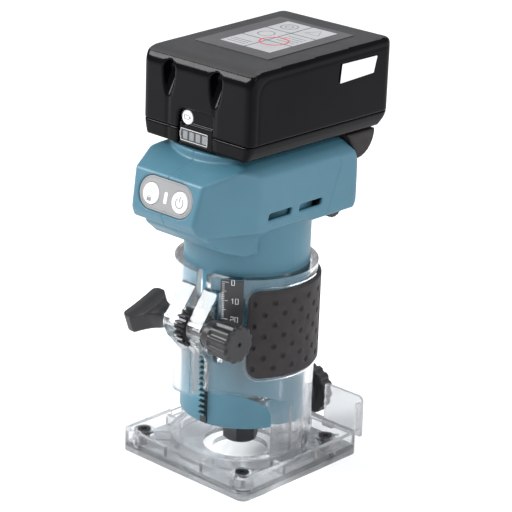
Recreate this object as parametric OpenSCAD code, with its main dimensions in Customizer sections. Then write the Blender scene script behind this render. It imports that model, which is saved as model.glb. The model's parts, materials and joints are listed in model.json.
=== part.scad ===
// Cordless trim router. A motor unit with a slide-on battery moves up and down in a clear plastic
// base, driven by a rack and pinion. Millimetres. The origin is on the spindle axis at the base's
// underside, +Z points up and the switch panel faces -Y.

/* [Base] */
// Width and depth of the square base
base_w = 90; // [86:1:100]
// Height of the base plate, sub-base included
base_t = 12; // [11:0.5:13]
// Corner radius of the base plate
base_corner_r = 4.5; // [3:0.5:8]
// Thickness of the flat sub-base
sub_base_t = 3; // [2.5:0.5:3.5]
// Radius of the opening that the bit passes through
bit_hole_r = 15; // [12:0.5:17]
// Half the distance between the base screws along X
screw_x = 36; // [35:0.5:37]
// Place of the front base screws along Y
screw_front_y = -37; // [-38:0.5:-36]
// Place of the rear base screws along Y
screw_rear_y = 28; // [26:0.5:30]

/* [Sleeve] */
// Outer radius of the clear sleeve
sleeve_r = 37.5; // [37:0.1:38]
// Height of the sleeve's top edge
sleeve_top = 112; // [110:0.5:115]
// Height of the top of the sleeve's front window
window_top = 48; // [44:1:52]
// Corner radius of the front window
window_r = 12; // [6:1:15]
// Middle of the sleeve's front slot along X
slot_x = 3.5; // [3:0.1:4]
// Width of the sleeve's front slot
slot_w = 6.4; // [6.2:0.1:7]
// Width of each ear beside the slot
ear_w = 9.6; // [8:0.2:10]

/* [Grip] */
// Lower edge of the rubber grip
grip_z0 = 58; // [54:1:62]
// Upper edge of the rubber grip
grip_z1 = 106; // [100:1:108]
// Thickness of the rubber grip
grip_t = 1.8; // [1.2:0.1:2]
// Place of the grip's right end along X
grip_right = 27.8; // [26:0.2:30]
// Place of the grip's left end along X
grip_left = 36.2; // [34:0.2:36.6]

/* [Depth drive] */
// Gear module of the pinion and the rack
gear_m = 1; // [1:0.05:1]
// Number of teeth on the pinion
pinion_teeth = 19; // [19:1:19]
// Height of the pinion's axis
pinion_z = 85; // [83:0.5:87]
// Radius of the clamp screw
clamp_r = 3; // [2.5:0.1:3]
// Length of the depth knob
knob_len = 20.4; // [19:0.2:21]
// Largest radius of the depth knob
knob_r = 10.4; // [10:0.1:11]
// Length of the clamp lever from its hub to its tip
lever_len = 23; // [22:0.5:26]
// Width of the clamp lever's blade
lever_w = 27; // [22:0.5:27]
// Tilt of the clamp lever's blade at rest
lever_tilt = 20; // [0:1:40]

/* [Motor unit] */
// Outer radius of the motor housing
motor_r = 33; // [33:0.1:33]
// Height of the motor housing's lower edge
motor_z0 = 27; // [27:0.1:27]
// Radius of the collet's bore
collet_r = 3; // [3:0.175:3.175]
// Width of the collet nut across its flats
nut_af = 17; // [16:0.5:17]

/* [Head] */
// Half the width of the head
head_x = 36.3; // [35.5:0.1:36.8]
// Height of the head's flat top
head_top = 177.6; // [177:0.1:177.7]
// Tilt of the switch panel from the vertical
panel_tilt = 13.3; // [10:0.1:15]
// Half the distance between the two push buttons
button_x = 10; // [9.5:0.1:10.5]
// Radius of the push buttons
button_r = 5.4; // [5:0.1:5.6]

/* [Battery] */
// Half the width of the battery
pack_x = 37.7; // [37.5:0.1:38]
// Front of the battery along Y
pack_y0 = -42.2; // [-42.4:0.1:-42]
// Back of the battery along Y
pack_y1 = 65; // [64.5:0.1:66]
// Underside of the battery
pack_z0 = 178; // [178:0.1:178.2]
// Top of the battery at its back
pack_z1 = 227.3; // [226.5:0.1:228]
// How far the battery's top falls from its back to its front
pack_fall = 2.8; // [2:0.1:3]
// Radius of one cell
cell_r = 9.1; // [9:0.05:9.1]
// Length of one cell
cell_len = 65; // [64:0.5:65]

/* [Hidden] */
$fn = 64;
clear_colour = [0.88, 0.91, 0.93, 0.4];
teal_colour = [0.31, 0.51, 0.58];

// Gaps: a running fit, a sliding fit and the room between parts that move apart
run_gap = 0.05;
slide_gap = 0.1;
free_gap = 0.3;
cut = 1; // how far a cutting shape runs past the face it cuts

// Gear sizes that follow from the module
pitch_r = gear_m * pinion_teeth / 2;
tooth_tip = 0.9 * gear_m;
tooth_root = 1.15 * gear_m;
backlash = 0.22 * gear_m;
pressure = 20;
pitch_y = -34.5;
shaft_y = pitch_y - pitch_r;
pinion_x0 = 1;
pinion_x1 = 6;
pinion_shaft_r = 5;
rack_z0 = 28;
rack_z1 = 98;
rack_depth = 2.2;

sleeve_bore_r = motor_r + slide_gap;
slot_x0 = slot_x - slot_w / 2;
slot_x1 = slot_x + slot_w / 2;
knob_x0 = slot_x1 + ear_w + 0.9;
wall = 2.6;

// Ribs, bosses and fastenings of the base
rib_t = 2.2;
rib_place = 13;
floor_z = sub_base_t + 2.4;
boss_r = 5.4;
screw_r = 2;
screw_head_r = 3.6;
screws = [for (x = [-screw_x, screw_x], y = [screw_front_y, screw_rear_y]) [x, y]];
guide_z = 20;
guide_face_y = 46.5;
insert_r = 4.5;
insert_len = 8;
guide_knob_y = 50;
guide_r = 3;

// Motor
housing_top = 150;
housing_inner_r = 30;
stator_z0 = 56;
stator_z1 = 86;
stator_r = 29.9;
rotor_r = 14.5;
shaft_low_r = 6;
shaft_mid_r = 5;
shaft_top_r = 4;
nose_r = 6.9;
collet_outer_r = 5;

// Head outlines in plan, from the side and from the front, the radius of the rim under the battery,
// and the cavity inside each outline
head_plan = [[20.5, -66], [head_x, -30], [head_x, 43.4], [32, 46], [-32, 46], [-head_x, 43.4],
             [-head_x, -30], [-20.5, -66]];
head_side = [[-63.6, 147.5], [-59, 167.6], [-36, 174.6], [-20, head_top], [36.5, head_top],
             [44.5, 163], [45.4, 142], [41.5, 138], [10, 138], [6, 140], [-54, 140], [-61, 142.5]];
head_front = [[-head_x, 120], [head_x, 120], [head_x, 168.8], [29, 174.6], [20, head_top],
              [-20, head_top], [-29, 174.6], [-head_x, 168.8]];
head_rim_r = 42;
cavity_plan = [[18.5, -62], [head_x - wall, -29], [head_x - wall, 40], [29, 43], [-29, 43],
               [wall - head_x, 40], [wall - head_x, -29], [-18.5, -62]];
cavity_side = [[-59.9, 149], [-56.9, 165], [-35, 171.8], [-19.4, head_top - wall],
               [35, head_top - wall], [41.8, 162.4], [42.6, 143], [40.5, 140.6], [11, 140.6],
               [7, 142.6], [-53, 142.6], [-58.5, 145]];
cavity_front = [[wall - head_x, 120], [head_x - wall, 120], [head_x - wall, 167.6], [27.8, 172.3],
                [19.6, head_top - wall], [-19.6, head_top - wall], [-27.8, 172.3],
                [wall - head_x, 167.6]];
panel_y = -61.25;
panel_z = 157.5;
panel_half_x = 18.4;
panel_half_h = 8.6;
panel_depth = 2;
button_travel = 1;
button_depth = 3.3;
dial_pos = [30.7, 29.5, 141.2];
dial_r = 6.6;
dial_w = 4.4;
dial_x0 = dial_pos.x - dial_w / 2;
axle_r = 1.5;
pot_x0 = dial_x0 - 4.6;
pot_z0 = 139.6;

// Screws that hold the two head shells together, as places in Y and Z
head_screws = [[-44, 145.5], [38, 143.6], [-30.4, 170.2], [34, 171]];
head_screw_r = 1.5;
head_screw_x0 = -22;
head_boss_x1 = 18;
lamp_x = 15;
lamp_y = -38.6;
lamp_z1 = 131.4;

// Battery: the shoe on the head and the recess that slides over it
shoe_neck_x = 19.5;
shoe_flange_x = 23.5;
shoe_y0 = -15;
shoe_y1 = 36;
shoe_z1 = 184.2;
shoe_step_z = 181;
seam_z = 186.6;
cell_pitch = 18.5;
cell_z0 = 195.7;
cell_y0 = -24;
blade_x = 10;
latch_x = 12;
latch_y = -39.7;
latch_z1 = 197.6;
latch_travel = 4;
latch_middle_x = -1.5;
scoop_x = [-19, 13.2];
case_screws = [for (x = [-31, 31], y = [-28, 54]) [x, y]];
case_screw_r = 1.8;
case_screw_z1 = 185.4;

// ---------------------------------------------------------------- shared shapes

function unit(v) = v / norm(v);

// The arc that rounds the corner at b, between the edges to a and to c.
function corner_arc(a, b, c, r, steps) =
    r == 0 ? [b] :
    let (u = unit(a - b), v = unit(c - b), half = acos(u * v) / 2)
    let (centre = b + unit(u + v) * r / sin(half))
    let (from = b + u * r / tan(half) - centre, to = b + v * r / tan(half) - centre)
    let (start = atan2(from.y, from.x), turn = atan2(to.y, to.x) - start)
    let (sweep = turn > 180 ? turn - 360 : turn < -180 ? turn + 360 : turn)
    [for (i = [0:steps]) let (a = start + sweep * i / steps) centre + r * [cos(a), sin(a)]];

// An outline with each corner rounded by r, or by its own entry in r.
function rounded(pts, r, steps = 4) =
    let (n = len(pts))
    [for (i = [0:n - 1])
        each corner_arc(pts[(i + n - 1) % n], pts[i], pts[(i + 1) % n], is_list(r) ? r[i] : r, steps)];

function box_outline(x, y) = [[-x, -y], [x, -y], [x, y], [-x, y]];

// Extrudes an outline in Y and Z along X.
module along_x(x0, x1) {
    translate([x0, 0, 0]) rotate([90, 0, 90]) linear_extrude(x1 - x0) children();
}

// Extrudes an outline in X and Z along Y.
module along_y(y0, y1) {
    translate([0, y1, 0]) rotate([90, 0, 0]) linear_extrude(y1 - y0) children();
}

module block(x0, x1, y0, y1, z0, z1) {
    translate([x0, y0, z0]) cube([x1 - x0, y1 - y0, z1 - z0]);
}

module tube(r, inner_r, z0, z1) {
    translate([0, 0, z0]) difference() {
        cylinder(r = r, h = z1 - z0);
        translate([0, 0, -cut]) cylinder(r = inner_r, h = z1 - z0 + 2 * cut);
    }
}

// A rod along X about the pinion's axis.
module shaft_rod(r, x0, x1) {
    translate([x0, shaft_y, pinion_z]) rotate([0, 90, 0]) cylinder(r = r, h = x1 - x0);
}

// Moves a shape drawn in the panel's plane, with +Z out of it, onto the head's nose.
module on_panel() {
    translate([0, panel_y, panel_z]) rotate([90 - panel_tilt, 0, 0]) children();
}

module stadium(half_x, half_h, z0, z1) {
    translate([0, 0, z0]) linear_extrude(z1 - z0)
        polygon(rounded(box_outline(half_x, half_h), half_h - 0.01, 8));
}

module rounded_plate(w, r, z0, z1) {
    translate([0, 0, z0]) linear_extrude(z1 - z0) polygon(rounded(box_outline(w / 2, w / 2), r, 6));
}

// ---------------------------------------------------------------- base

// Ribs from the sleeve's foot to the rim, and across the corners.
module base_ribs() {
    for (turn = [0:90:270], side = [-1, 1])
        rotate(turn) translate([side * rib_place - rib_t / 2, 0, sub_base_t])
            cube([rib_t, base_w / 2 - 1, base_t - 1 - sub_base_t]);
    for (turn = [45:90:315])
        rotate(turn) translate([sleeve_bore_r + 1, -rib_t / 2, sub_base_t])
            cube([19, rib_t, base_t - 2 - sub_base_t]);
}

// The ribbed tray between the sub-base and the sleeve.
module base_tray() {
    difference() {
        rounded_plate(base_w, base_corner_r, sub_base_t, base_t);
        difference() {
            rounded_plate(base_w - 5.6, base_corner_r - 2.4, floor_z, base_t + cut);
            base_ribs();
            cylinder(r = sleeve_r, h = base_t + cut);
            for (p = screws) translate(p) cylinder(r = boss_r, h = base_t + cut);
        }
        // a step in the middle of each side wall
        for (side = [-1, 1])
            block(side * base_w / 2 - 1.4, side * base_w / 2 + 1.4, -9, 9, base_t - 4, base_t + cut);
    }
}

// One ear: it carries the pinion's shaft and is squeezed by the clamp screw.
module slot_ear(x0, x1) {
    profile = [[-33, 105], [-38.2, 105], [-50.8, 88.2], [-50.8, 83], [-48, 77.5], [-37, 66], [-33, 66]];
    along_x(x0, x1) polygon(rounded(profile, [0, 2, 1.5, 1.5, 2, 0, 0]));
}

// The block at the back that holds the guide's threaded insert, between two heights.
module guide_boss(z0, z1) {
    profile = rounded([[34, 4], [guide_face_y, 4], [guide_face_y, 30], [34, 36]], [0, 0, 2, 0]);
    along_x(-9, 9) intersection() {
        polygon(profile);
        translate([30, z0]) square([20, z1 - z0]);
    }
}

module base_foot() {
    color(clear_colour) difference() {
        union() {
            base_tray();
            tube(sleeve_r, sleeve_bore_r - cut, sub_base_t + 1, base_t, $fn = 96);
            guide_boss(4, base_t);
        }
        translate([0, 0, floor_z]) cylinder(r = sleeve_bore_r, h = base_t, $fn = 96);
        translate([0, 0, sub_base_t - cut]) cylinder(r = bit_hole_r + 5, h = 5);
        for (p = screws) translate([p.x, p.y, 0]) {
            cylinder(r = screw_r + 0.1, h = 20);
            translate([0, 0, base_t - 2]) cylinder(r = screw_head_r + 0.2, h = 5);
            translate([0, 0, sub_base_t - cut]) cylinder(r = 3.9, h = 3.2 + cut);
        }
    }
}

// The upright sleeve stands on the foot, which meets it face to face.
module base_sleeve() {
    window = [[-36.6, base_t - cut], [34.5, base_t - cut], [34.5, window_top], [slot_x, window_top],
              [slot_x, window_top - 3.5], [-29, window_top - 11], [-36.6, window_top - 11]];
    color(clear_colour) difference() {
        union() {
            tube(sleeve_r, sleeve_bore_r - cut, base_t, sleeve_top, $fn = 96);
            slot_ear(slot_x0 - ear_w, slot_x0 + 0.2);
            slot_ear(slot_x1 - 0.2, slot_x1 + ear_w);
            block(slot_x0 - 1.6, slot_x0 + 0.2, -39.3, -35, 44, 70);
            guide_boss(base_t, 36);
        }
        translate([0, 0, base_t - cut]) cylinder(r = sleeve_bore_r, h = sleeve_top, $fn = 96);
        along_y(-60, 0) polygon(rounded(window, [0, 0, window_r, 0, 0, 3, 0]));
        block(slot_x0, slot_x1, -60, -20, base_t, sleeve_top + cut);
        shaft_rod(pinion_shaft_r + run_gap, -3.2, 20);
        shaft_rod(clamp_r + 0.3, -20, 0);
        translate([0, guide_face_y + cut, guide_z]) rotate([90, 0, 0])
            cylinder(r = insert_r + run_gap, h = insert_len + cut);
    }
}

module sub_base() {
    color(clear_colour) difference() {
        rounded_plate(base_w, base_corner_r, 0, sub_base_t);
        translate([0, 0, -cut]) cylinder(r = bit_hole_r, h = sub_base_t + 2 * cut);
        for (p = screws) translate([p.x, p.y, 1]) cylinder(r = screw_r + 0.1, h = sub_base_t);
    }
}

module base_screws() {
    color("dimgray") for (p = screws) translate([p.x, p.y, 0]) difference() {
        union() {
            translate([0, 0, 1.2]) cylinder(r = screw_r, h = base_t - 3.2);
            translate([0, 0, base_t - 2]) cylinder(r = screw_head_r, h = 2.2);
        }
        for (turn = [0, 90]) rotate(turn) translate([-2, -0.5, base_t - 0.9]) cube([4, 1, 2]);
    }
}

module base_nuts() {
    color("gray") for (p = screws) translate([p.x, p.y, sub_base_t]) difference() {
        cylinder(r = 3.8, h = 3.1, $fn = 6);
        translate([0, 0, -cut]) cylinder(r = screw_r + 0.02, h = 6);
    }
}

// The scale is a sector of a thin tube; its lower half starts beyond the right ear.
module scale_plate() {
    plate_t = 0.5;
    from = -67;
    to = -49;
    color("dimgray") difference() {
        intersection() {
            tube(sleeve_r + plate_t, sleeve_r + run_gap, 87, sleeve_top - 0.6, $fn = 96);
            linear_extrude(sleeve_top + cut)
                polygon([[0, 0], 50 * [cos(from), sin(from)], 50 * [cos(to), sin(to)]]);
        }
        block(0, slot_x1 + ear_w + 0.1, -60, 0, 80, 105.3);
    }
}

// The rubber band wraps round the back of the sleeve; its front ends have rounded corners.
module grip_sleeve() {
    function end(x) = rounded([[x, grip_z0], [60, grip_z0], [60, grip_z1], [x, grip_z1]], [7, 0, 0, 7], 6);
    color([0.19, 0.18, 0.19]) intersection() {
        tube(sleeve_r + grip_t, sleeve_r + run_gap, grip_z0, grip_z1, $fn = 96);
        union() {
            along_y(-50, 0) polygon(end(grip_right));
            mirror([1, 0, 0]) along_y(-50, 0) polygon(end(grip_left));
            block(-50, 50, 0, 50, grip_z0 - cut, grip_z1 + cut);
        }
    }
}

// A clear guard behind the base: two wings joined by a low web, with a turned-in outer edge.
module chip_deflector() {
    wing = rounded([[18, 8], [44, 8], [44, 31], [18, 31]], [0, 0, 3, 1]);
    color(clear_colour) union() {
        block(-18.5, 18.5, 47.2, 49.2, 8, 10.5);
        for (side = [0, 1]) mirror([side, 0, 0]) {
            along_y(47.2, 49.2) polygon(wing);
            block(20, 27, base_w / 2, 47.4, 8, 10.5);
            block(42.5, 44, 44, 48, base_t + free_gap, 28);
        }
    }
}

module guide_insert() {
    color("goldenrod") translate([0, guide_face_y, guide_z]) rotate([90, 0, 0]) difference() {
        cylinder(r = insert_r, h = insert_len);
        translate([0, 0, -cut]) cylinder(r = guide_r + run_gap, h = insert_len + 2 * cut);
    }
}

module guide_screw() {
    color("silver") translate([0, guide_knob_y + 8, guide_z]) rotate([90, 0, 0])
        cylinder(r = guide_r, h = 19);
}

// The fluted thumb knob at the back, on the guide screw.
module guide_knob() {
    color([0.08, 0.08, 0.08]) translate([0, guide_knob_y, guide_z]) rotate([-90, 0, 0]) difference() {
        union() {
            cylinder(r = 8, h = 2);
            translate([0, 0, 2]) cylinder(r = 14, h = 8);
            translate([0, 0, 10]) cylinder(r = 9, h = 1.5);
        }
        translate([0, 0, -cut]) cylinder(r = guide_r, h = 9);
        for (turn = [0:24:336]) rotate(turn) translate([15.2, 0, 1]) cylinder(r = 2, h = 12);
    }
}

// ---------------------------------------------------------------- depth drive

function inv(a) = tan(a) * 180 / PI - a; // the involute angle, in degrees

// Points up one flank of a pinion tooth, from the root circle to the tip circle.
function flank(side, steps = 6) =
    let (base_r = pitch_r * cos(pressure), root_r = pitch_r - tooth_root, tip_r = pitch_r + tooth_tip)
    let (half = 90 / pinion_teeth - backlash / 2 / pitch_r * 180 / PI / 2 + inv(pressure))
    [for (i = [0:steps])
        let (r = root_r + (tip_r - root_r) * i / steps, a = half - inv(acos(min(1, base_r / r))))
        [r, side * a]];

function pinion_outline() =
    [for (k = [0:pinion_teeth - 1])
        let (turn = 360 * k / pinion_teeth, up = flank(-1), down = flank(1))
        each concat(
            [for (p = up) p[0] * [cos(turn + p[1]), sin(turn + p[1])]],
            [for (i = [len(down) - 1:-1:0]) down[i][0] * [cos(turn + down[i][1]), sin(turn + down[i][1])]])];

// A toothed wheel on a hollow shaft; one tooth points straight at the rack.
module pinion() {
    color([0.2, 0.2, 0.2]) difference() {
        union() {
            translate([0, shaft_y, pinion_z])
                along_x(pinion_x0, pinion_x1) polygon(pinion_outline());
            shaft_rod(pinion_shaft_r, -3, knob_x0 + 12);
        }
        shaft_rod(clamp_r + run_gap, -10, 60);
    }
}

// One rack tooth in Y and Z, standing out towards -Y.
function rack_tooth() =
    let (half = gear_m * PI / 4 - backlash / 4, slope = tan(pressure))
    [[tooth_root + 0.4, half + tooth_root * slope], [-tooth_tip, half - tooth_tip * slope],
     [-tooth_tip, -half + tooth_tip * slope], [tooth_root + 0.4, -half - tooth_root * slope]];

module depth_rack() {
    pitch = gear_m * PI;
    below = floor((pinion_z - rack_z0 - pitch) / pitch);
    above = floor((rack_z1 - pinion_z - pitch) / pitch);
    root_y = pitch_y + tooth_root;
    color([0.16, 0.17, 0.18]) union() {
        block(pinion_x0 + 0.3, pinion_x1 - 0.3, root_y, root_y + rack_depth, rack_z0, rack_z1);
        for (k = [-below:above])
            translate([0, pitch_y, pinion_z + (k + 0.5) * pitch])
                along_x(pinion_x0 + 0.3, pinion_x1 - 0.3) polygon(rack_tooth());
    }
}

module depth_knob() {
    color([0.12, 0.12, 0.12]) translate([knob_x0, shaft_y, pinion_z]) rotate([0, 90, 0]) difference() {
        rotate_extrude() polygon(rounded(
            [[pinion_shaft_r, 0], [7.2, 0], [7.6, 4.5], [9.6, 6], [knob_r, knob_len],
             [pinion_shaft_r, knob_len]],
            [0, 0.8, 0.6, 1, 1.2, 0]));
        for (turn = [15:30:345])
            rotate(turn) translate([knob_r + 1.3, 0, 4]) cylinder(r = 2.4, h = knob_len);
        translate([0, 0, 12]) cylinder(r = pinion_shaft_r + 1.2, h = knob_len);
    }
}

// A hexagon nut in the knob's end; the clamp screw turns in it.
module clamp_nut() {
    color("silver") translate([knob_x0 + 13, shaft_y, pinion_z]) rotate([0, 90, 0]) difference() {
        cylinder(r = pinion_shaft_r + 1.1, h = 5, $fn = 6);
        translate([0, 0, -cut]) cylinder(r = clamp_r + run_gap, h = 8);
    }
}

module clamp_screw() {
    color("silver") shaft_rod(clamp_r, slot_x0 - ear_w - 12, knob_x0 + 18.4);
}

module clamp_washer() {
    color("silver") translate([slot_x0 - ear_w - 1.1, shaft_y, pinion_z]) rotate([0, 90, 0]) difference() {
        cylinder(r = 6.2, h = 1);
        translate([0, 0, -cut]) cylinder(r = clamp_r + 0.02, h = 3);
    }
}

// A thumb lever: a round hub that flares into a wide paddle, with a cupped face towards its tip.
module clamp_lever() {
    hub_x = slot_x0 - ear_w - 1.2;
    paddle_r = 8.5;
    paddle_z = 13;
    cup_r = 26;
    color([0.2, 0.2, 0.2]) translate([hub_x, shaft_y, pinion_z])
        rotate([lever_tilt, 0, 0]) rotate([0, -90, 0]) difference() {
            union() {
                cylinder(r = 5.6, h = 6, $fn = 32);
                hull() {
                    translate([0, 0, 5]) cylinder(r = 5, h = 1, $fn = 32);
                    for (side = [-1, 1]) translate([0, side * (lever_w / 2 - paddle_r), paddle_z])
                        cylinder(r = paddle_r, h = lever_len - paddle_z, $fn = 32);
                }
            }
            translate([0, 0, -cut]) cylinder(r = clamp_r, h = 11.8 + cut);
            translate([cup_r - 1.4, -20, lever_len + 8.4]) rotate([-90, 0, 0])
                cylinder(r = cup_r, h = 40);
        }
}

// ---------------------------------------------------------------- motor unit

module motor_housing() {
    color(teal_colour) difference() {
        rotate_extrude($fn = 96) polygon([
            [10, motor_z0], [motor_r - 1.2, motor_z0], [motor_r, motor_z0 + 1.2],
            [motor_r, housing_top], [housing_inner_r, housing_top], [housing_inner_r, 31],
            [16.5, 31], [16.5, 41], [14.02, 41], [14.02, 32.2], [10, 32.2]]);
        block(pinion_x0 + 0.3, pinion_x1 - 0.3, -40, pitch_y + tooth_root + rack_depth,
            rack_z0, rack_z1);
    }
}

module stator_core() {
    color("slategray") translate([0, 0, stator_z0]) linear_extrude(stator_z1 - stator_z0) difference() {
        union() {
            difference() {
                circle(r = stator_r);
                circle(r = 25);
            }
            for (turn = [0:60:300]) rotate(turn) {
                translate([14, -3]) square([12, 6]);
                translate([15, -6]) square([2.2, 12]);
            }
        }
        circle(r = rotor_r + 0.6);
    }
}

module stator_coils() {
    color([0.72, 0.38, 0.2]) for (turn = [0:60:300]) rotate(turn) difference() {
        block(17.4, 23.6, -6.2, 6.2, stator_z0 - 3, stator_z1 + 3);
        block(17, 24, -3.05, 3.05, stator_z0 - 0.05, stator_z1 + 0.05);
    }
}

// A ball bearing shown as its two rings with the balls between them.
module bearing(outer_r, inner_r, z0, width) {
    mid = (outer_r + inner_r) / 2;
    color("silver") union() {
        tube(outer_r, mid + 1.2, z0, z0 + width);
        tube(mid - 1.2, inner_r, z0, z0 + width);
        for (turn = [0:45:315])
            rotate(turn) translate([mid, 0, z0 + width / 2]) sphere(r = 1.7, $fn = 24);
    }
}

module lower_bearing() {
    bearing(14, shaft_low_r + run_gap, 32.3, 8);
}

module upper_bearing() {
    bearing(11, shaft_top_r + run_gap, 96.4, 7);
}

// The spider that holds the upper bearing inside the housing.
module bearing_bracket() {
    color("darkgray") union() {
        tube(13.5, 11.02, 95.2, 104);
        tube(13.5, 6.5, 94, 96.2);
        tube(housing_inner_r - 0.05, 27.5, 94, 104);
        for (turn = [0:60:300]) rotate(turn) block(13, 28, -2, 2, 94, 99);
    }
}

module motor_leads() {
    color("firebrick") for (turn = [75, 90, 105])
        rotate(turn) translate([21, 0, stator_z1 + 3.2]) cylinder(r = 1.3, h = 62, $fn = 24);
}

// The outside of both head shells: the block with the rim under the battery, the skirt over the
// housing and the chin that holds the work lamps.
module head_outside() {
    skirt = [[-31.4, 143.5], [-29.1, 135.5], [-22.7, 128.5], [-18, 125], [18, 125], [22.7, 128.5],
             [29.1, 135.5], [31.4, 143.5]];
    chin = [[-54, 141], [-52, 137.5], [-43, 129.5], [-30, 124.8], [-20, 124.8], [-20, 141]];
    intersection() {
        translate([0, 0, 130]) linear_extrude(60) polygon(rounded(head_plan, [3, 8, 5, 3, 3, 5, 8, 3]));
        union() {
            along_x(-50, 50) polygon(rounded(head_side, [3, 2, 6, 6, 1, 1, 2, 1.5, 1, 1, 3, 3]));
            intersection() {
                translate([0, 0, 160]) cylinder(r = head_rim_r, h = head_top - 160, $fn = 96);
                block(-50, 50, -50, 0, 150, 200);
            }
        }
        along_y(-70, 70) polygon(rounded(head_front, [0, 0, 2.5, 4, 4, 4, 4, 2.5]));
    }
    intersection() {
        translate([0, 0, 124]) cylinder(r = 36, h = 20, $fn = 96);
        along_y(-40, 0) polygon(skirt);
    }
    intersection() {
        along_x(-30, 30) polygon(rounded(chin, [0, 2, 2, 2, 0, 0]));
        translate([0, 0, 120]) linear_extrude(22) polygon([[22.5, -55], [27, -24], [27, -18],
            [-27, -18], [-27, -24], [-22.5, -55]]);
    }
}

module head_cuts() {
    intersection() {
        translate([0, 0, 139]) linear_extrude(40) polygon(cavity_plan);
        along_x(-50, 50) polygon(cavity_side);
        along_y(-70, 70) polygon(cavity_front);
    }
    translate([0, 0, 120]) cylinder(r = motor_r, h = 40, $fn = 96);
    on_panel() stadium(panel_half_x + 0.1, panel_half_h + 0.1, -6, 4);
    // vent slots, lamp pockets, and the dial's slot
    for (side = [-1, 1]) {
        for (y = [-23.6, -0.6]) block(side * head_x - 5, side * head_x + 5, y, y + 17, 145.2, 149);
        translate([side * lamp_x, lamp_y, 120]) translate([-4.2, -2.6, 0]) cube([8.4, 5.2, lamp_z1 - 120]);
    }
    block(dial_x0 - free_gap, dial_x0 + dial_w + free_gap,
        dial_pos.y - dial_r - free_gap, dial_pos.y + dial_r + free_gap, 136, 145);
    block(pot_x0 - 0.1, dial_x0, dial_pos.y - 4.5, dial_pos.y + 4.5, pot_z0 - 0.1, 145);
}

// Bosses that join the two shells, and the holes for their screws.
module head_bosses() {
    for (p = head_screws)
        translate([head_screw_x0 - 3, p.x, p.y]) rotate([0, 90, 0])
            cylinder(r = 3.4, h = head_boss_x1 - head_screw_x0 + 3);
}

module head_screw_holes() {
    for (p = head_screws) {
        translate([head_screw_x0, p.x, p.y]) rotate([0, 90, 0])
            cylinder(r = head_screw_r + run_gap, h = head_boss_x1 - head_screw_x0 - 3);
        translate([-60, p.x, p.y]) rotate([0, 90, 0]) cylinder(r = 3.1, h = head_screw_x0 + 60);
    }
}

module head_half(side) {
    color(teal_colour) difference() {
        union() {
            difference() {
                head_outside();
                head_cuts();
            }
            head_bosses();
        }
        head_screw_holes();
        block(side > 0 ? -60 : 0, side > 0 ? 0 : 60, -80, 80, 110, 200);
    }
}

module head_left() {
    head_half(-1);
}

module head_right() {
    head_half(1);
}

// The dark buffer between the head's sloping back and the battery.
module rear_bumper() {
    steps = 6;
    curve = [for (i = [0:steps]) let (a = 90 * i / steps) [44.7 + 13.8 * sin(a), head_top - 14.5 * cos(a)]];
    color([0.12, 0.12, 0.12]) along_x(-34, 34)
        polygon(concat([[36.6, head_top]], [[44.7, 163.1]], [for (i = [1:steps]) curve[i]]));
}

module switch_panel() {
    color([0.74, 0.75, 0.76]) on_panel() difference() {
        stadium(panel_half_x, panel_half_h, -panel_depth - 0.6, -0.6);
        for (side = [-1, 1]) translate([side * button_x, -0.6, -5]) cylinder(r = button_r + 0.25, h = 8);
        block(-1.3, 1.3, -3.8, 2.4, -5, 4);
    }
}

module panel_lamp() {
    color("white") on_panel() block(-1.2, 1.2, -3.7, 2.3, -panel_depth - 0.6, -0.5);
}

module panel_board() {
    top = -button_depth - button_travel - 1;
    color("darkgreen") on_panel() block(-17, 17, -8, 8, top - 1.4, top);
}

// A push button: a round cap with a flange behind the panel.
module push_button(x) {
    color("white") on_panel() translate([x, -0.6, 0]) union() {
        translate([0, 0, -2.9]) cylinder(r = button_r, h = 2.9);
        translate([0, 0, -button_depth]) cylinder(r = button_r + 0.2, h = 0.4);
    }
}

module power_button() {
    push_button(button_x);
}

module lock_button() {
    push_button(-button_x);
}

module controller() {
    color("darkslategray") difference() {
        block(-24, 24, -26, 30, 154, 168);
        for (x = [-20:5:20]) block(x - 1, x + 1, -24, 28, 164, 169);
    }
}

// The T-shaped shoe that the battery slides onto.
module battery_shoe() {
    color([0.1, 0.1, 0.1]) difference() {
        union() {
            block(-shoe_neck_x, shoe_neck_x, shoe_y0, shoe_y1, head_top, shoe_step_z + 0.1);
            block(-shoe_flange_x, shoe_flange_x, shoe_y0, shoe_y1, shoe_step_z, shoe_z1);
        }
        for (side = [-1, 1])
            block(side * blade_x - 3.4, side * blade_x + 3.4, shoe_y0 - cut, 4,
                head_top + 0.8, shoe_z1 + cut);
    }
}

module shoe_blades() {
    color("goldenrod") for (side = [-1, 1])
        block(side * blade_x - 0.4, side * blade_x + 0.4, shoe_y0 + 3, 4, head_top + 0.8, shoe_z1 - 0.4);
}

// The dial's electrical half: a small block beside the wheel, which the dial's axle turns in.
module speed_pot() {
    color("steelblue") difference() {
        block(pot_x0, dial_x0 - free_gap, dial_pos.y - 4.4, dial_pos.y + 4.4, pot_z0, 147.5);
        translate([pot_x0 - cut, dial_pos.y, dial_pos.z]) rotate([0, 90, 0])
            cylinder(r = axle_r + run_gap, h = 8);
    }
}

module speed_dial() {
    color([0.15, 0.13, 0.12]) translate([dial_x0, dial_pos.y, dial_pos.z])
        rotate([0, 90, 0]) union() {
            difference() {
                cylinder(r = dial_r, h = dial_w);
                for (turn = [0:20:340])
                    rotate(turn) translate([dial_r + 0.4, 0, -cut]) cylinder(r = 0.8, h = 8);
            }
            translate([0, 0, -4.4]) cylinder(r = axle_r, h = 4.6);
        }
}

// Two lamps in the chin's underside that light the cut.
module work_lamps() {
    color("white") for (side = [-1, 1])
        translate([side * lamp_x - 4, lamp_y - 2.4, lamp_z1 - 2.6]) cube([8, 4.8, 2.6]);
}

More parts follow.
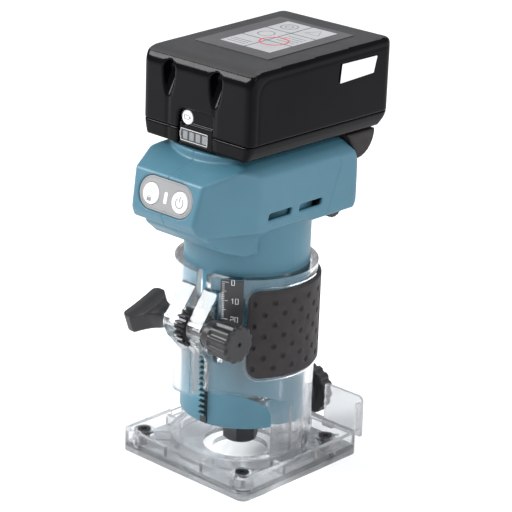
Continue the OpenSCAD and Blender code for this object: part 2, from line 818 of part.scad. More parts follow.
// Four screws through the left shell into the right one.
module housing_screws() {
    color("dimgray") for (p = head_screws)
        translate([head_screw_x0, p.x, p.y]) rotate([0, 90, 0]) union() {
            cylinder(r = head_screw_r, h = head_boss_x1 - head_screw_x0 - 4, $fn = 24);
            translate([0, 0, -1.6]) cylinder(r = 2.8, h = 1.6, $fn = 24);
        }
}

// ---------------------------------------------------------------- spindle

module spindle_shaft() {
    color("silver") rotate_extrude() polygon([
        [0, 27], [collet_outer_r + 0.02, 27], [collet_outer_r + 0.02, 13], [nose_r, 13], [nose_r, 28],
        [8.5, 28], [8.5, 32], [shaft_low_r, 32], [shaft_low_r, 43.8], [shaft_mid_r, 43.8],
        [shaft_mid_r, 95], [shaft_top_r, 95], [shaft_top_r, 105], [0, 105]]);
}

module rotor_core() {
    color("dimgray") tube(rotor_r - 1.4, shaft_mid_r, stator_z0, stator_z1);
}

module rotor_magnets() {
    color("gray") for (turn = [0:90:270]) rotate(turn) intersection() {
        tube(rotor_r, rotor_r - 1.4, stator_z0, stator_z1);
        linear_extrude(100) polygon([[0, 0], [30, -26], [30, 26]]);
    }
}

module fan() {
    blades = 11;
    color([0.15, 0.15, 0.15]) union() {
        tube(9, shaft_mid_r, 44, 51.5);
        tube(27, 8.5, 50, 51.5);
        for (k = [0:blades - 1])
            rotate(360 * k / blades) translate([9, 4, 44.3]) rotate(-24) cube([17, 1.2, 6]);
    }
}

module collet() {
    color("silver") difference() {
        translate([0, 0, 9.4]) cylinder(r = collet_outer_r, h = 17.4);
        translate([0, 0, 8]) cylinder(r = collet_r, h = 20);
        for (turn = [0:60:120]) rotate(turn) block(-8, 8, -0.35, 0.35, 8, 20);
    }
}

module collet_nut() {
    chamfer_r = nut_af / 2;
    color([0.12, 0.12, 0.13]) difference() {
        intersection() {
            translate([0, 0, 8.5]) cylinder(r = nut_af / 2 / cos(30), h = 18, $fn = 6);
            rotate_extrude() polygon([[0, 8.5], [chamfer_r - 0.2, 8.5], [chamfer_r + 1.4, 10],
                [chamfer_r + 1.4, 27], [0, 27]]);
        }
        translate([0, 0, 13]) cylinder(r = nose_r + 0.02, h = 20);
        translate([0, 0, 8]) cylinder(r = collet_outer_r + 0.02, h = 8);
    }
}

// ---------------------------------------------------------------- battery

// Height of the battery's sloping top at a place along Y.
function pack_top(y) = pack_z1 - pack_fall * (pack_y1 - y) / (pack_y1 - pack_y0);

// The space above a slope that lies a depth below the battery's top, over part of its length.
module above_pack_top(x0, x1, y0, y1, depth) {
    along_x(x0, x1) polygon([[y0, pack_top(y0) - depth], [y1, pack_top(y1) - depth], [y1, 240], [y0, 240]]);
}

// The battery's outer shape: plan, front and side outlines, each with its own round corners.
module pack_outside() {
    middle_y = (pack_y0 + pack_y1) / 2;
    half_y = (pack_y1 - pack_y0) / 2;
    front = [[-pack_x + 3.6, pack_z0], [pack_x - 3.6, pack_z0], [pack_x, pack_z0 + 9],
             [pack_x, pack_z1], [-pack_x, pack_z1], [-pack_x, pack_z0 + 9]];
    side = [[pack_y0, pack_z0], [pack_y1 - 5, pack_z0], [pack_y1, pack_z0 + 8],
            [pack_y1, pack_z1], [pack_y0, pack_top(pack_y0)]];
    intersection() {
        translate([0, middle_y, pack_z0 - cut]) linear_extrude(60)
            polygon(rounded(box_outline(pack_x, half_y), 5, 6));
        along_y(pack_y0 - cut, pack_y1 + cut) polygon(rounded(front, [1.5, 1.5, 2, 4, 4, 2]));
        along_x(-50, 50) polygon(rounded(side, [1.5, 2, 3, 7, 10], 6));
    }
}

// The latch's bay at the front, the two finger scoops above it and the room for the cells.
module pack_cuts() {
    block(-shoe_neck_x - free_gap, shoe_neck_x + free_gap, shoe_y0 - free_gap, 90, 170, shoe_step_z);
    block(-shoe_flange_x - free_gap, shoe_flange_x + free_gap, shoe_y0 - free_gap, 90,
        shoe_step_z - free_gap, shoe_z1 + free_gap);
    block(-latch_x, latch_x, -60, -38, 170, latch_z1 - 0.2);
    block(-latch_x - free_gap, latch_x + free_gap, latch_y - free_gap, -36.4,
        170, latch_z1 + latch_travel + 0.2);
    for (x = scoop_x)
        translate([x, pack_y0 - 1.6, 199]) rotate([-16, 0, 0]) cylinder(r = 4.4, h = 18.5);
    block(-33.6, 33.6, -33.4, 60.6, 186.3, 223.3);
    for (p = case_screws)
        translate([p.x, p.y, 170]) cylinder(r = case_screw_r + run_gap, h = case_screw_z1 - 170);
}

module battery_case() {
    color([0.07, 0.07, 0.07]) difference() {
        pack_outside();
        pack_cuts();
        block(-60, 60, -80, 80, seam_z, 240);
    }
}

module battery_cover() {
    color([0.09, 0.09, 0.09]) difference() {
        pack_outside();
        pack_cuts();
        block(-60, 60, -80, 80, 160, seam_z);
        above_pack_top(-26, 25, -17, 48, 0.6);
    }
}

module battery_label() {
    color([0.75, 0.75, 0.75]) difference() {
        above_pack_top(-25.9, 24.9, -16.9, 47.9, 0.6);
        above_pack_top(-60, 60, -40, 60, 0.2);
    }
}

module battery_cells() {
    color("royalblue") for (row = [0, 1], k = [0:4])
        translate([-cell_len / 2, cell_y0 + k * cell_pitch, cell_z0 + row * cell_pitch])
            rotate([0, 90, 0]) cylinder(r = cell_r, h = cell_len, $fn = 48);
}

// End plates that hold the cells; the round windows leave room for their contacts.
module cell_holder() {
    color("black") difference() {
        for (side = [-1, 1])
            translate([side * 33.05 - 0.5, -33.2, 186.6]) cube([1, 92, 36.6]);
        for (row = [0, 1], k = [0:4])
            translate([-40, cell_y0 + k * cell_pitch, cell_z0 + row * cell_pitch])
                rotate([0, 90, 0]) cylinder(r = 6.5, h = 80, $fn = 48);
    }
}

module battery_board() {
    color("darkgreen") block(-22, 22, 59.25, 60.5, 188, 222);
}

// Spring jaws that grip the shoe's blades.
module battery_jaws() {
    color("goldenrod") for (side = [-1, 1], jaw = [-1, 1])
        block(side * blade_x + jaw * 1.4 - 0.4, side * blade_x + jaw * 1.4 + 0.4,
            shoe_y0 - free_gap, 0, head_top + 1.4, shoe_z1 - 0.8);
}

module battery_screws() {
    color("dimgray") for (p = case_screws)
        translate([p.x, p.y, pack_z0 + 0.4])
            cylinder(r = case_screw_r, h = case_screw_z1 - pack_z0 - 0.4, $fn = 24);
}

// The latch is a plate that slides up behind the cover's front wall.
module latch_button() {
    color([0.07, 0.07, 0.07]) difference() {
        union() {
            block(-latch_x, latch_x, latch_y, -36.7, 178.1, latch_z1);
            block(-latch_x + 0.3, latch_x - 0.3, latch_y - 1, latch_y + 0.1, 178.1, 190);
        }
        translate([latch_middle_x - 5.6, -60, 192.6]) rotate([-90, 0, 0]) cylinder(r = 4, h = 22.6);
        block(latch_middle_x - 9.5, latch_middle_x + 9.5, -60, latch_y - 0.3, 180.2, 187.2);
    }
}

module latch_spring() {
    color("silver") translate([6, -38.2, latch_z1]) difference() {
        cylinder(r = 1.3, h = latch_travel, $fn = 24);
        translate([0, 0, -cut]) cylinder(r = 0.8, h = 8, $fn = 24);
    }
}

module check_button() {
    color("white") translate([latch_middle_x - 5.6, latch_y, 192.6]) rotate([-90, 0, 0])
        cylinder(r = 3.9, h = 1.4);
}

module gauge_window() {
    color("gray")
        block(latch_middle_x - 9.4, latch_middle_x + 9.4, latch_y - 0.9, latch_y - 0.3, 180.3, 187.1);
}

base_foot();
base_sleeve();
sub_base();
base_screws();
base_nuts();
scale_plate();
grip_sleeve();
chip_deflector();
guide_insert();
guide_screw();
guide_knob();
clamp_screw();
clamp_lever();
clamp_washer();
pinion();
depth_knob();
clamp_nut();
motor_housing();
depth_rack();
stator_core();
stator_coils();
lower_bearing();
upper_bearing();
bearing_bracket();
motor_leads();
head_left();
head_right();
rear_bumper();
switch_panel();
panel_lamp();
panel_board();
controller();
battery_shoe();
shoe_blades();
speed_pot();
work_lamps();
housing_screws();
spindle_shaft();
rotor_core();
rotor_magnets();
fan();
collet();
collet_nut();
power_button();
lock_button();
speed_dial();
battery_case();
battery_cover();
battery_label();
battery_cells();
cell_holder();
battery_board();
battery_jaws();
battery_screws();
latch_button();
latch_spring();
check_button();
gauge_window();
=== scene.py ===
"""Looks for a cordless trim router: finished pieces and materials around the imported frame.

Shapes are worked out in millimetres in the frame's own axes and scaled to metres when a mesh is made.
Rounded housings are fields of signed distance, below zero inside, that skin() turns into quads.
"""

import json
import math

import bpy
import numpy as np
from mathutils import Matrix, Vector


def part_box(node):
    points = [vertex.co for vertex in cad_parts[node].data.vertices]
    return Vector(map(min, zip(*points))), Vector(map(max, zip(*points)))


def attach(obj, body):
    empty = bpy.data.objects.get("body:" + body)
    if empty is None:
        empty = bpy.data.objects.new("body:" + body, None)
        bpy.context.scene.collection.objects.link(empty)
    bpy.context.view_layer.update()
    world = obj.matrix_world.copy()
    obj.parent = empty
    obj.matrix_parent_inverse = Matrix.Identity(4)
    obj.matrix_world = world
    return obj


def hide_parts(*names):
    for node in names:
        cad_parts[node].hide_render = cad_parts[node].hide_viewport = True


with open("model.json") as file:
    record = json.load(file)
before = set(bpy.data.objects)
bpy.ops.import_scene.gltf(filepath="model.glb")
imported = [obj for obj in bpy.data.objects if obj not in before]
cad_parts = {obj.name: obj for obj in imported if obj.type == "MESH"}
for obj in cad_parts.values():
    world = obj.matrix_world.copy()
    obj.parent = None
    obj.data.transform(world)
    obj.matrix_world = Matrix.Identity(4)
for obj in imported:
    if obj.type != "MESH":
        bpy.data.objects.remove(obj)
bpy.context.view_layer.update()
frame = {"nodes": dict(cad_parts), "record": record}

MM = 0.001
TAU = 2 * math.pi

# Places shared with the frame, in millimetres
SHAFT_Y, SHAFT_Z = -44.0, 85.0
PANEL_Y, PANEL_Z, PANEL_TILT = -61.25, 157.5, math.radians(13.3)
TUBE_R = 33.0
SLEEVE_R = 37.5
GRIP_Z = (58.0, 106.0)
GRIP_R = 39.3
GRIP_FIRST = -90 + math.degrees(math.asin(27.8 / GRIP_R))
GRIP_LAST = 270 - math.degrees(math.asin(36.2 / GRIP_R))
GRIP_CORNER = 7.0
SEAM_Z = 186.6
PACK_X, PACK_Y0, PACK_Y1, PACK_Z0, PACK_Z1 = 37.7, -42.2, 65.0, 178.0, 227.3
PACK_FALL = 2.8
HEAD_X, HEAD_TOP = 36.3, 177.6
BUTTON_X, BUTTON_V = 10.0, -0.6
CHECK_X, CHECK_Z = -7.1, 192.6
WELD_GAP = 0.002


def pack_drop(y):
    """How far the battery's top lies below its back edge at a place along Y."""
    return PACK_FALL * (PACK_Y1 - y) / (PACK_Y1 - PACK_Y0)


def node_box(name):
    """Lowest and highest corner of a CAD node, in millimetres."""
    low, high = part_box(name)
    return np.array(low) / MM, np.array(high) / MM


# ---- outlines and fields

def corner_arc(a, b, c, radius, steps):
    """Points on the arc that rounds the corner at b between the edges to a and to c."""
    if radius == 0:
        return [tuple(b)]
    u, v = (a - b).normalized(), (c - b).normalized()
    half = u.angle(v) / 2
    centre = b + (u + v).normalized() * radius / math.sin(half)
    start = b + u * radius / math.tan(half) - centre
    end = b + v * radius / math.tan(half) - centre
    first = math.atan2(start.y, start.x)
    turn = (math.atan2(end.y, end.x) - first + math.pi) % TAU - math.pi
    angles = [first + turn * i / steps for i in range(steps + 1)]
    return [(centre.x + radius * math.cos(t), centre.y + radius * math.sin(t)) for t in angles]


def outline(points, radii, steps=6):
    """A closed outline whose corners are rounded by one radius, or by one radius each."""
    if not isinstance(radii, (list, tuple)):
        radii = [radii] * len(points)
    corners = [Vector(p) for p in points]
    rounded = []
    for i, corner in enumerate(corners):
        after = corners[(i + 1) % len(corners)]
        rounded += corner_arc(corners[i - 1], corner, after, radii[i], steps)
    return rounded


def rectangle(u0, v0, u1, v1):
    """The corners of an upright rectangle, anticlockwise."""
    return [(u0, v0), (u1, v0), (u1, v1), (u0, v1)]


def mirrored(half):
    """A closed outline from its half on the right of u = 0, listed from bottom to top."""
    return half + [(-u, v) for u, v in reversed(half)]


def inside_distance(u, v, points):
    """Signed distance from (u, v) to a closed outline, below zero inside."""
    nearest = np.full(np.broadcast(u, v).shape, np.inf)
    inside = np.zeros(nearest.shape, bool)
    for (au, av), (bu, bv) in zip(points, points[1:] + points[:1]):
        eu, ev = bu - au, bv - av
        wu, wv = u - au, v - av
        along = np.clip((wu * eu + wv * ev) / (eu * eu + ev * ev), 0, 1)
        nearest = np.minimum(nearest, (wu - eu * along) ** 2 + (wv - ev * along) ** 2)
        if bv != av:
            inside ^= ((av > v) != (bv > v)) & (wu < eu * wv / ev)
    return np.where(inside, -1, 1) * np.sqrt(nearest)


class Space:
    """A grid of points over a box, in millimetres, with room for one more cell on every side."""

    def __init__(self, low, high, cell):
        self.cell = cell
        self.low = np.array(low, float) - 1.5 * cell
        counts = np.ceil((np.array(high, float) - self.low) / cell).astype(int) + 3
        axes = [self.low[i] + cell * np.arange(counts[i]) for i in range(3)]
        self.x, self.y, self.z = np.meshgrid(*axes, indexing="ij", sparse=True)


def both(a, b, radius):
    """Where both shapes are, with the edge between them rounded."""
    beyond = np.hypot(np.maximum(a + radius, 0), np.maximum(b + radius, 0))
    return np.minimum(np.maximum(a, b), -radius) + beyond


def either(a, b, radius):
    """Where either shape is, with a fillet between them."""
    return -both(-a, -b, radius)


def without(a, b, radius):
    """The first shape with the second cut from it."""
    return both(a, -b, radius)


def box_field(x, y, z, low, high, radius):
    """A box with rounded edges."""
    low, high = np.array(low, float), np.array(high, float)
    middle, half = (low + high) / 2, (high - low) / 2 - radius
    qx, qy, qz = (abs(p - m) - h for p, m, h in zip((x, y, z), middle, half))
    outside = np.sqrt(np.maximum(qx, 0) ** 2 + np.maximum(qy, 0) ** 2 + np.maximum(qz, 0) ** 2)
    return outside + np.minimum(np.maximum(np.maximum(qx, qy), qz), 0) - radius


def rod_field(x, y, z, start, end, start_r, end_r):
    """A round-ended rod whose radius changes from one end to the other."""
    start, end = np.array(start, float), np.array(end, float)
    axis = end - start
    along = ((x - start[0]) * axis[0] + (y - start[1]) * axis[1] + (z - start[2]) * axis[2])
    along = np.clip(along / (axis @ axis), 0, 1)
    gap = np.sqrt(sum((p - s - a * along) ** 2 for p, s, a in zip((x, y, z), start, axis)))
    return gap - (start_r + (end_r - start_r) * along)


def skin(space, field):
    """Vertices and quads of the surface where the field is zero: one vertex in each cell that it crosses."""
    field = np.broadcast_to(field, np.broadcast(space.x, space.y, space.z).shape)
    cells = tuple(n - 1 for n in field.shape)
    corners, places, quads = [], [], []
    for axis in range(3):
        first = np.take(field, range(field.shape[axis] - 1), axis)
        second = np.take(field, range(1, field.shape[axis]), axis)
        edges = np.argwhere((first < 0) != (second < 0))
        one, two = (axis + 1) % 3, (axis + 2) % 3
        inner = np.ones(len(edges), bool)
        for other in (one, two):
            inner &= (edges[:, other] > 0) & (edges[:, other] < cells[other])
        edges = edges[inner]
        low, high = first[tuple(edges.T)], second[tuple(edges.T)]
        place = edges.astype(float)
        place[:, axis] += low / (low - high)
        around = []
        for step_one, step_two in ((1, 1), (0, 1), (0, 0), (1, 0)):
            cell = edges.copy()
            cell[:, one] -= step_one
            cell[:, two] -= step_two
            around.append(np.ravel_multi_index(tuple(cell.T), cells))
            corners.append(around[-1])
            places.append(place)
        quad = np.stack(around, 1)
        quad[low > 0] = quad[low > 0][:, ::-1]
        quads.append(quad)
    used, index = np.unique(np.concatenate(corners), return_inverse=True)
    places = np.concatenate(places)
    counts = np.bincount(index)
    verts = np.stack([np.bincount(index, places[:, i]) / counts for i in range(3)], 1)
    faces = np.searchsorted(used, np.concatenate(quads))
    return verts * space.cell + space.low, faces


# ---- meshes

def make(name, verts, faces, body, material, replaces=(), smooth=True):
    """One finished piece from vertices in millimetres."""
    mesh = bpy.data.meshes.new(name)
    if isinstance(faces, np.ndarray):
        faces = faces.tolist()
    mesh.from_pydata((np.asarray(verts, float) * MM).tolist(), [], faces)
    mesh.validate()
    mesh.polygons.foreach_set("use_smooth", [smooth] * len(mesh.polygons))
    piece = bpy.data.objects.new(name, mesh)
    bpy.context.scene.collection.objects.link(piece)
    mesh.materials.append(material)
    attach(piece, body)
    if replaces:
        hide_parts(*replaces)
    return piece


def lathe(profile, columns, cut=lambda angle, along: 0.0):
    """Turns a profile of (along, radius) points about the first axis; cut() takes from the radius."""
    rows = len(profile)
    verts = []
    for along, radius in profile:
        for c in range(columns):
            angle = TAU * c / columns
            r = max(radius - cut(angle, along), 0.01)
            verts.append((along, r * math.cos(angle), r * math.sin(angle)))
    faces = [(r * columns + c, r * columns + (c + 1) % columns,
              (r + 1) * columns + (c + 1) % columns, (r + 1) * columns + c)
             for r in range(rows - 1) for c in range(columns)]
    faces.append(tuple(reversed(range(columns))))
    faces.append(tuple(range((rows - 1) * columns, rows * columns)))
    return np.array(verts), [tuple(reversed(f)) for f in faces]


def ribbon(points, width, low, high, closed=False):
    """A flat band along 2D points, as a closed solid between two heights."""
    points = [Vector(p) for p in points]
    count = len(points)
    verts = []
    for i, p in enumerate(points):
        before = points[i - 1] if i or closed else p
        after = points[(i + 1) % count] if i < count - 1 or closed else p
        run = (after - before).normalized()
        aside = Vector((-run.y, run.x)) * width / 2
        for edge in (p + aside, p - aside):
            verts += [(edge.x, edge.y, low), (edge.x, edge.y, high)]
    faces = []
    for i in range(count if closed else count - 1):
        a, b = 4 * i, 4 * ((i + 1) % count)
        faces += [(a + 1, a + 3, b + 3, b + 1), (a, b, b + 2, a + 2),
                  (a, a + 1, b + 1, b), (a + 2, b + 2, b + 3, a + 3)]
    if not closed:
        end = 4 * (count - 1)
        faces += [(0, 2, 3, 1), (end, end + 1, end + 3, end + 2)]
    return verts, faces


def slab(points, low, high):
    """A closed plate over a 2D outline that runs anticlockwise."""
    count = len(points)
    verts = [(u, v, low) for u, v in points] + [(u, v, high) for u, v in points]
    faces = [tuple(reversed(range(count))), tuple(range(count, 2 * count))]
    faces += [(i, (i + 1) % count, count + (i + 1) % count, count + i) for i in range(count)]
    return verts, faces


def joined(solids):
    """Several (vertices, faces) pairs as one pair."""
    verts, faces = [], []
    for part_verts, part_faces in solids:
        start = len(verts)
        verts += [tuple(v) for v in part_verts]
        faces += [tuple(i + start for i in f) for f in part_faces]
    return verts, faces


def circle(u, v, radius, start=0.0, sweep=TAU, steps=32):
    """Points on a circle or an arc; a full circle leaves out its repeated last point."""
    last = steps if abs(sweep - TAU) < 1e-6 else steps + 1
    angles = [start + sweep * i / steps for i in range(last)]
    return [(u + radius * math.cos(t), v + radius * math.sin(t)) for t in angles]


def printed(name, solids, place, body, material):
    """Thin flat marks as one piece, moved by a function of (u, v, height)."""
    verts, faces = joined(solids)
    make(name, [place(*v) for v in verts], faces, body, material, smooth=False)


def on_panel(u, v, w):
    """From the switch panel's own plane, with w out of it, to the frame."""
    return (u, PANEL_Y + v * math.sin(PANEL_TILT) - w * math.cos(PANEL_TILT),
            PANEL_Z + v * math.cos(PANEL_TILT) + w * math.sin(PANEL_TILT))


def on_sleeve(angle, z, out):
    """From degrees round the sleeve, height and distance out of it, to the frame."""
    r = SLEEVE_R + out
    return (r * math.cos(math.radians(angle)), r * math.sin(math.radians(angle)), z)


def soften(piece, width):
    """Welds a piece's corners and rounds its sharp edges with modifiers."""
    weld = piece.modifiers.new("weld", "WELD")
    weld.merge_threshold = WELD_GAP * MM
    bevel = piece.modifiers.new("bevel", "BEVEL")
    bevel.width = width * MM
    bevel.segments = 2
    bevel.limit_method = "ANGLE"
    bevel.angle_limit = math.radians(30)
    bevel.use_clamp_overlap = True
    normals = piece.modifiers.new("normals", "WEIGHTED_NORMAL")
    normals.keep_sharp = True


# ---- materials

def start_material(name):
    """A new material with its Principled shader and its object coordinates."""
    material = bpy.data.materials.new(name)
    material.use_nodes = True
    tree = material.node_tree
    shader = tree.nodes["Principled BSDF"]
    coordinates = tree.nodes.new("ShaderNodeTexCoord").outputs["Object"]
    return material, tree, shader, coordinates


def noise(tree, coordinates, per_metre, detail=2.0, stretch=(1, 1, 1)):
    """A noise factor with its scale in cycles per metre."""
    mapping = tree.nodes.new("ShaderNodeMapping")
    mapping.inputs["Scale"].default_value = stretch
    texture = tree.nodes.new("ShaderNodeTexNoise")
    texture.inputs["Scale"].default_value = per_metre
    texture.inputs["Detail"].default_value = detail
    tree.links.new(coordinates, mapping.inputs["Vector"])
    tree.links.new(mapping.outputs["Vector"], texture.inputs["Vector"])
    return texture.outputs["Fac"]


def spread(tree, factor, low, high):
    """Maps the middle of a noise factor to the range from low to high."""
    mapped = tree.nodes.new("ShaderNodeMapRange")
    mapped.inputs["From Min"].default_value = 0.3
    mapped.inputs["From Max"].default_value = 0.7
    mapped.inputs["To Min"].default_value = low
    mapped.inputs["To Max"].default_value = high
    tree.links.new(factor, mapped.inputs["Value"])
    return mapped.outputs["Result"]


def tint(tree, shader, factor, first, second):
    """Colours the shader between two colours by a factor."""
    mix = tree.nodes.new("ShaderNodeMix")
    mix.data_type = "RGBA"
    mix.inputs[6].default_value = (*first, 1)
    mix.inputs[7].default_value = (*second, 1)
    tree.links.new(factor, mix.inputs[0])
    tree.links.new(mix.outputs[2], shader.inputs["Base Color"])


def bump(tree, shader, height, strength, distance):
    """Raises the surface by a height factor, at most distance in millimetres."""
    node = tree.nodes.new("ShaderNodeBump")
    node.inputs["Strength"].default_value = strength
    node.inputs["Distance"].default_value = distance * MM
    tree.links.new(height, node.inputs["Height"])
    tree.links.new(node.outputs["Normal"], shader.inputs["Normal"])


def surface(name, dark, light, rough, grain=1400.0, depth=0.03, strength=0.25, metal=0.0,
            stretch=(1, 1, 1), coat=0.0, specular=0.5):
    """An opaque material: clouded colour, uneven roughness and a fine moulded or brushed grain."""
    clouds = 35.0
    material, tree, shader, coordinates = start_material(name)
    tint(tree, shader, spread(tree, noise(tree, coordinates, clouds, 4.0), 0, 1), dark, light)
    tree.links.new(spread(tree, noise(tree, coordinates, clouds * 6, 3.0, stretch), *rough),
                   shader.inputs["Roughness"])
    bump(tree, shader, noise(tree, coordinates, grain, 3.0, stretch), strength, depth)
    shader.inputs["Metallic"].default_value = metal
    shader.inputs["Coat Weight"].default_value = coat
    shader.inputs["Coat Roughness"].default_value = 0.06
    shader.inputs["Specular IOR Level"].default_value = specular
    return material


def clear_plastic(name, dark, light, transmission, alpha):
    """Clear moulded plastic with faint flow ripples; lamps shine through it."""
    material, tree, shader, coordinates = start_material(name)
    tint(tree, shader, spread(tree, noise(tree, coordinates, 25), 0, 1), dark, light)
    tree.links.new(spread(tree, noise(tree, coordinates, 60), 0.02, 0.07), shader.inputs["Roughness"])
    bump(tree, shader, noise(tree, coordinates, 140, 2.0), 0.12, 0.4)
    shader.inputs["Transmission Weight"].default_value = transmission
    shader.inputs["IOR"].default_value = 1.47
    shader.inputs["Specular IOR Level"].default_value = 0.9
    shader.inputs["Alpha"].default_value = alpha
    path = tree.nodes.new("ShaderNodeLightPath")
    through = tree.nodes.new("ShaderNodeBsdfTransparent")
    through.inputs["Color"].default_value = (0.96, 0.97, 0.975, 1)
    mix = tree.nodes.new("ShaderNodeMixShader")
    tree.links.new(path.outputs["Is Shadow Ray"], mix.inputs[0])
    tree.links.new(shader.outputs["BSDF"], mix.inputs[1])
    tree.links.new(through.outputs["BSDF"], mix.inputs[2])
    tree.links.new(mix.outputs["Shader"], tree.nodes["Material Output"].inputs["Surface"])
    return material


def rack_with_painted_shade():
    """The rack: teal on the tooth tips, with painted shade that darkens the gaps between them."""
    material, tree, shader, coordinates = start_material("rack_teeth_painted_shade")
    parts = tree.nodes.new("ShaderNodeSeparateXYZ")
    tree.links.new(coordinates, parts.inputs["Vector"])
    depth = tree.nodes.new("ShaderNodeMapRange")
    depth.inputs["From Min"].default_value = -35.1 * MM
    depth.inputs["From Max"].default_value = -34.6 * MM
    tree.links.new(parts.outputs["Y"], depth.inputs["Value"])
    # painted shade: near black where the rack lies deeper, in the gaps between the teeth, and teal on the
    # tips
    tint(tree, shader, depth.outputs["Result"], (0.06, 0.17, 0.21), (0.008, 0.014, 0.018))
    tree.links.new(spread(tree, noise(tree, coordinates, 200), 0.35, 0.5), shader.inputs["Roughness"])
    return material


TEAL = surface("teal_plastic", (0.051, 0.156, 0.214), (0.058, 0.172, 0.235), (0.42, 0.5),
               grain=2600, depth=0.05, strength=0.3)
RUBBER = surface("grip_rubber", (0.016, 0.013, 0.014), (0.023, 0.019, 0.02), (0.55, 0.7),
                 grain=2200, depth=0.07, strength=0.45, specular=0.35)
BLACK = surface("black_plastic", (0.011, 0.011, 0.012), (0.018, 0.018, 0.019), (0.33, 0.42),
                grain=2400, depth=0.03, specular=0.4)
GLOSS = surface("battery_gloss", (0.0015, 0.0015, 0.002), (0.003, 0.003, 0.0038), (0.14, 0.2),
                grain=300, depth=0.05, strength=0.08, specular=0.08)
SATIN = surface("battery_top", (0.02, 0.02, 0.0205), (0.029, 0.029, 0.0295), (0.5, 0.6),
                grain=2400, depth=0.05, strength=0.4, specular=0.3)
DARK_LENS = surface("dark_lens", (0.01, 0.01, 0.012), (0.016, 0.016, 0.019), (0.1, 0.16), grain=900)
PANEL = surface("panel_plastic", (0.27, 0.27, 0.275), (0.31, 0.31, 0.315), (0.32, 0.4), grain=2800)
WHITE = surface("white_plastic", (0.8, 0.8, 0.8), (0.87, 0.87, 0.87), (0.25, 0.32), grain=1800)
DARK_STEEL = surface("dark_steel", (0.03, 0.03, 0.033), (0.055, 0.055, 0.06), (0.28, 0.42),
                     metal=0.75, stretch=(1, 1, 8))
BRIGHT_STEEL = surface("bright_steel", (0.55, 0.56, 0.57), (0.68, 0.69, 0.7), (0.2, 0.34), metal=1.0,
                       stretch=(8, 1, 1), depth=0.02)
CORE_STEEL = surface("core_steel", (0.22, 0.23, 0.25), (0.32, 0.33, 0.35), (0.4, 0.55), metal=0.9,
                     stretch=(1, 1, 20), depth=0.06)
CAST = surface("cast_alloy", (0.42, 0.43, 0.44), (0.52, 0.53, 0.54), (0.4, 0.55), metal=0.9)
BRASS = surface("brass_parts", (0.6, 0.43, 0.16), (0.72, 0.55, 0.24), (0.22, 0.35), metal=1.0)
COPPER = surface("copper_wire", (0.45, 0.16, 0.06), (0.62, 0.26, 0.1), (0.25, 0.4), metal=0.8,
                 stretch=(1, 1, 12), depth=0.2, grain=900)
BOARD = surface("circuit_board", (0.01, 0.12, 0.04), (0.02, 0.17, 0.06), (0.3, 0.45))
LEAD = surface("lead_sleeve", (0.35, 0.02, 0.02), (0.5, 0.04, 0.03), (0.4, 0.5))
LENS = surface("lamp_lens", (0.7, 0.72, 0.74), (0.82, 0.84, 0.86), (0.08, 0.15), coat=0.5)
LABEL = surface("label_film", (0.045, 0.043, 0.047), (0.06, 0.058, 0.062), (0.38, 0.46))
PRINT = surface("label_print", (0.3, 0.3, 0.31), (0.36, 0.36, 0.37), (0.35, 0.45))
INK = surface("label_ink", (0.1, 0.1, 0.1), (0.16, 0.16, 0.16), (0.4, 0.5))
RED = surface("label_red", (0.5, 0.03, 0.05), (0.6, 0.06, 0.07), (0.35, 0.45))
GREY_MARK = surface("grey_mark", (0.22, 0.22, 0.23), (0.3, 0.3, 0.31), (0.3, 0.4))
GREEN_MARK = surface("green_mark", (0.3, 0.52, 0.33), (0.36, 0.6, 0.4), (0.3, 0.4))
BAR = surface("gauge_bar", (0.2, 0.205, 0.21), (0.26, 0.265, 0.27), (0.2, 0.3))
SCALE = surface("scale_plastic", (0.028, 0.028, 0.03), (0.04, 0.04, 0.042), (0.35, 0.45))
CELL = surface("cell_sleeve", (0.02, 0.1, 0.32), (0.03, 0.14, 0.4), (0.25, 0.35))
CLEAR = clear_plastic("clear_plastic", (0.87, 0.88, 0.895), (0.94, 0.945, 0.955), 1.0, 0.87)
GUARD = clear_plastic("clear_guard", (0.6, 0.61, 0.63), (0.68, 0.69, 0.71), 0.85, 0.8)
RACK = rack_with_painted_shade()

NODE_MATERIALS = {
    "clear_plastic": CLEAR, "dark_steel": DARK_STEEL, "bright_steel": BRIGHT_STEEL,
    "core_steel": CORE_STEEL, "cast_alloy": CAST, "brass_parts": BRASS, "copper_wire": COPPER,
    "scale_plastic": SCALE, "grip_rubber": RUBBER, "black_plastic": BLACK, "teal_plastic": TEAL,
    "panel_plastic": PANEL, "white_plastic": WHITE, "circuit_board": BOARD, "lead_sleeve": LEAD,
    "lamp_lens": LENS, "battery_gloss": GLOSS, "label_film": LABEL, "cell_sleeve": CELL,
}
SPECIAL_MATERIALS = {"gauge_window": DARK_LENS, "depth_rack": RACK, "chip_deflector": GUARD}


def paint_nodes():
    """Gives every CAD node its own material, or that of its slot in the record."""
    for part in frame["record"]["subparts"]:
        mesh = frame["nodes"][part["node"]].data
        mesh.materials.clear()
        material = SPECIAL_MATERIALS.get(part["node"]) or NODE_MATERIALS[part["material_slot"]]
        mesh.materials.append(material)


# ---- motor unit's head

# Outlines of the head in plan, from the side and from the front, and of the cavity inside each
HEAD_PLAN = outline(mirrored([(20.5, -66), (HEAD_X, -30), (HEAD_X, 43.4), (32, 46)]),
                    [3, 8, 5, 3, 3, 5, 8, 3])
HEAD_SIDE = outline([(-63.6, 147.5), (-59, 167.6), (-36, 174.6), (-20, HEAD_TOP), (36.5, HEAD_TOP),
                     (44.5, 163), (45.4, 142), (41.5, 138), (10, 138), (6, 140), (-54, 140), (-61, 142.5)],
                    [3, 2, 6, 6, 1, 1, 2, 1.5, 1, 1, 3, 3])
HEAD_FRONT = outline(mirrored([(HEAD_X, 120), (HEAD_X, 168.8), (29, 174.6), (20, HEAD_TOP)]),
                     [0, 2.5, 4, 4, 4, 4, 2.5, 0])
RIM_R, SKIRT_R = 42.0, 36.0
CAVITY_PLAN = mirrored([(18.5, -62), (33.7, -29), (33.7, 40), (29, 43)])
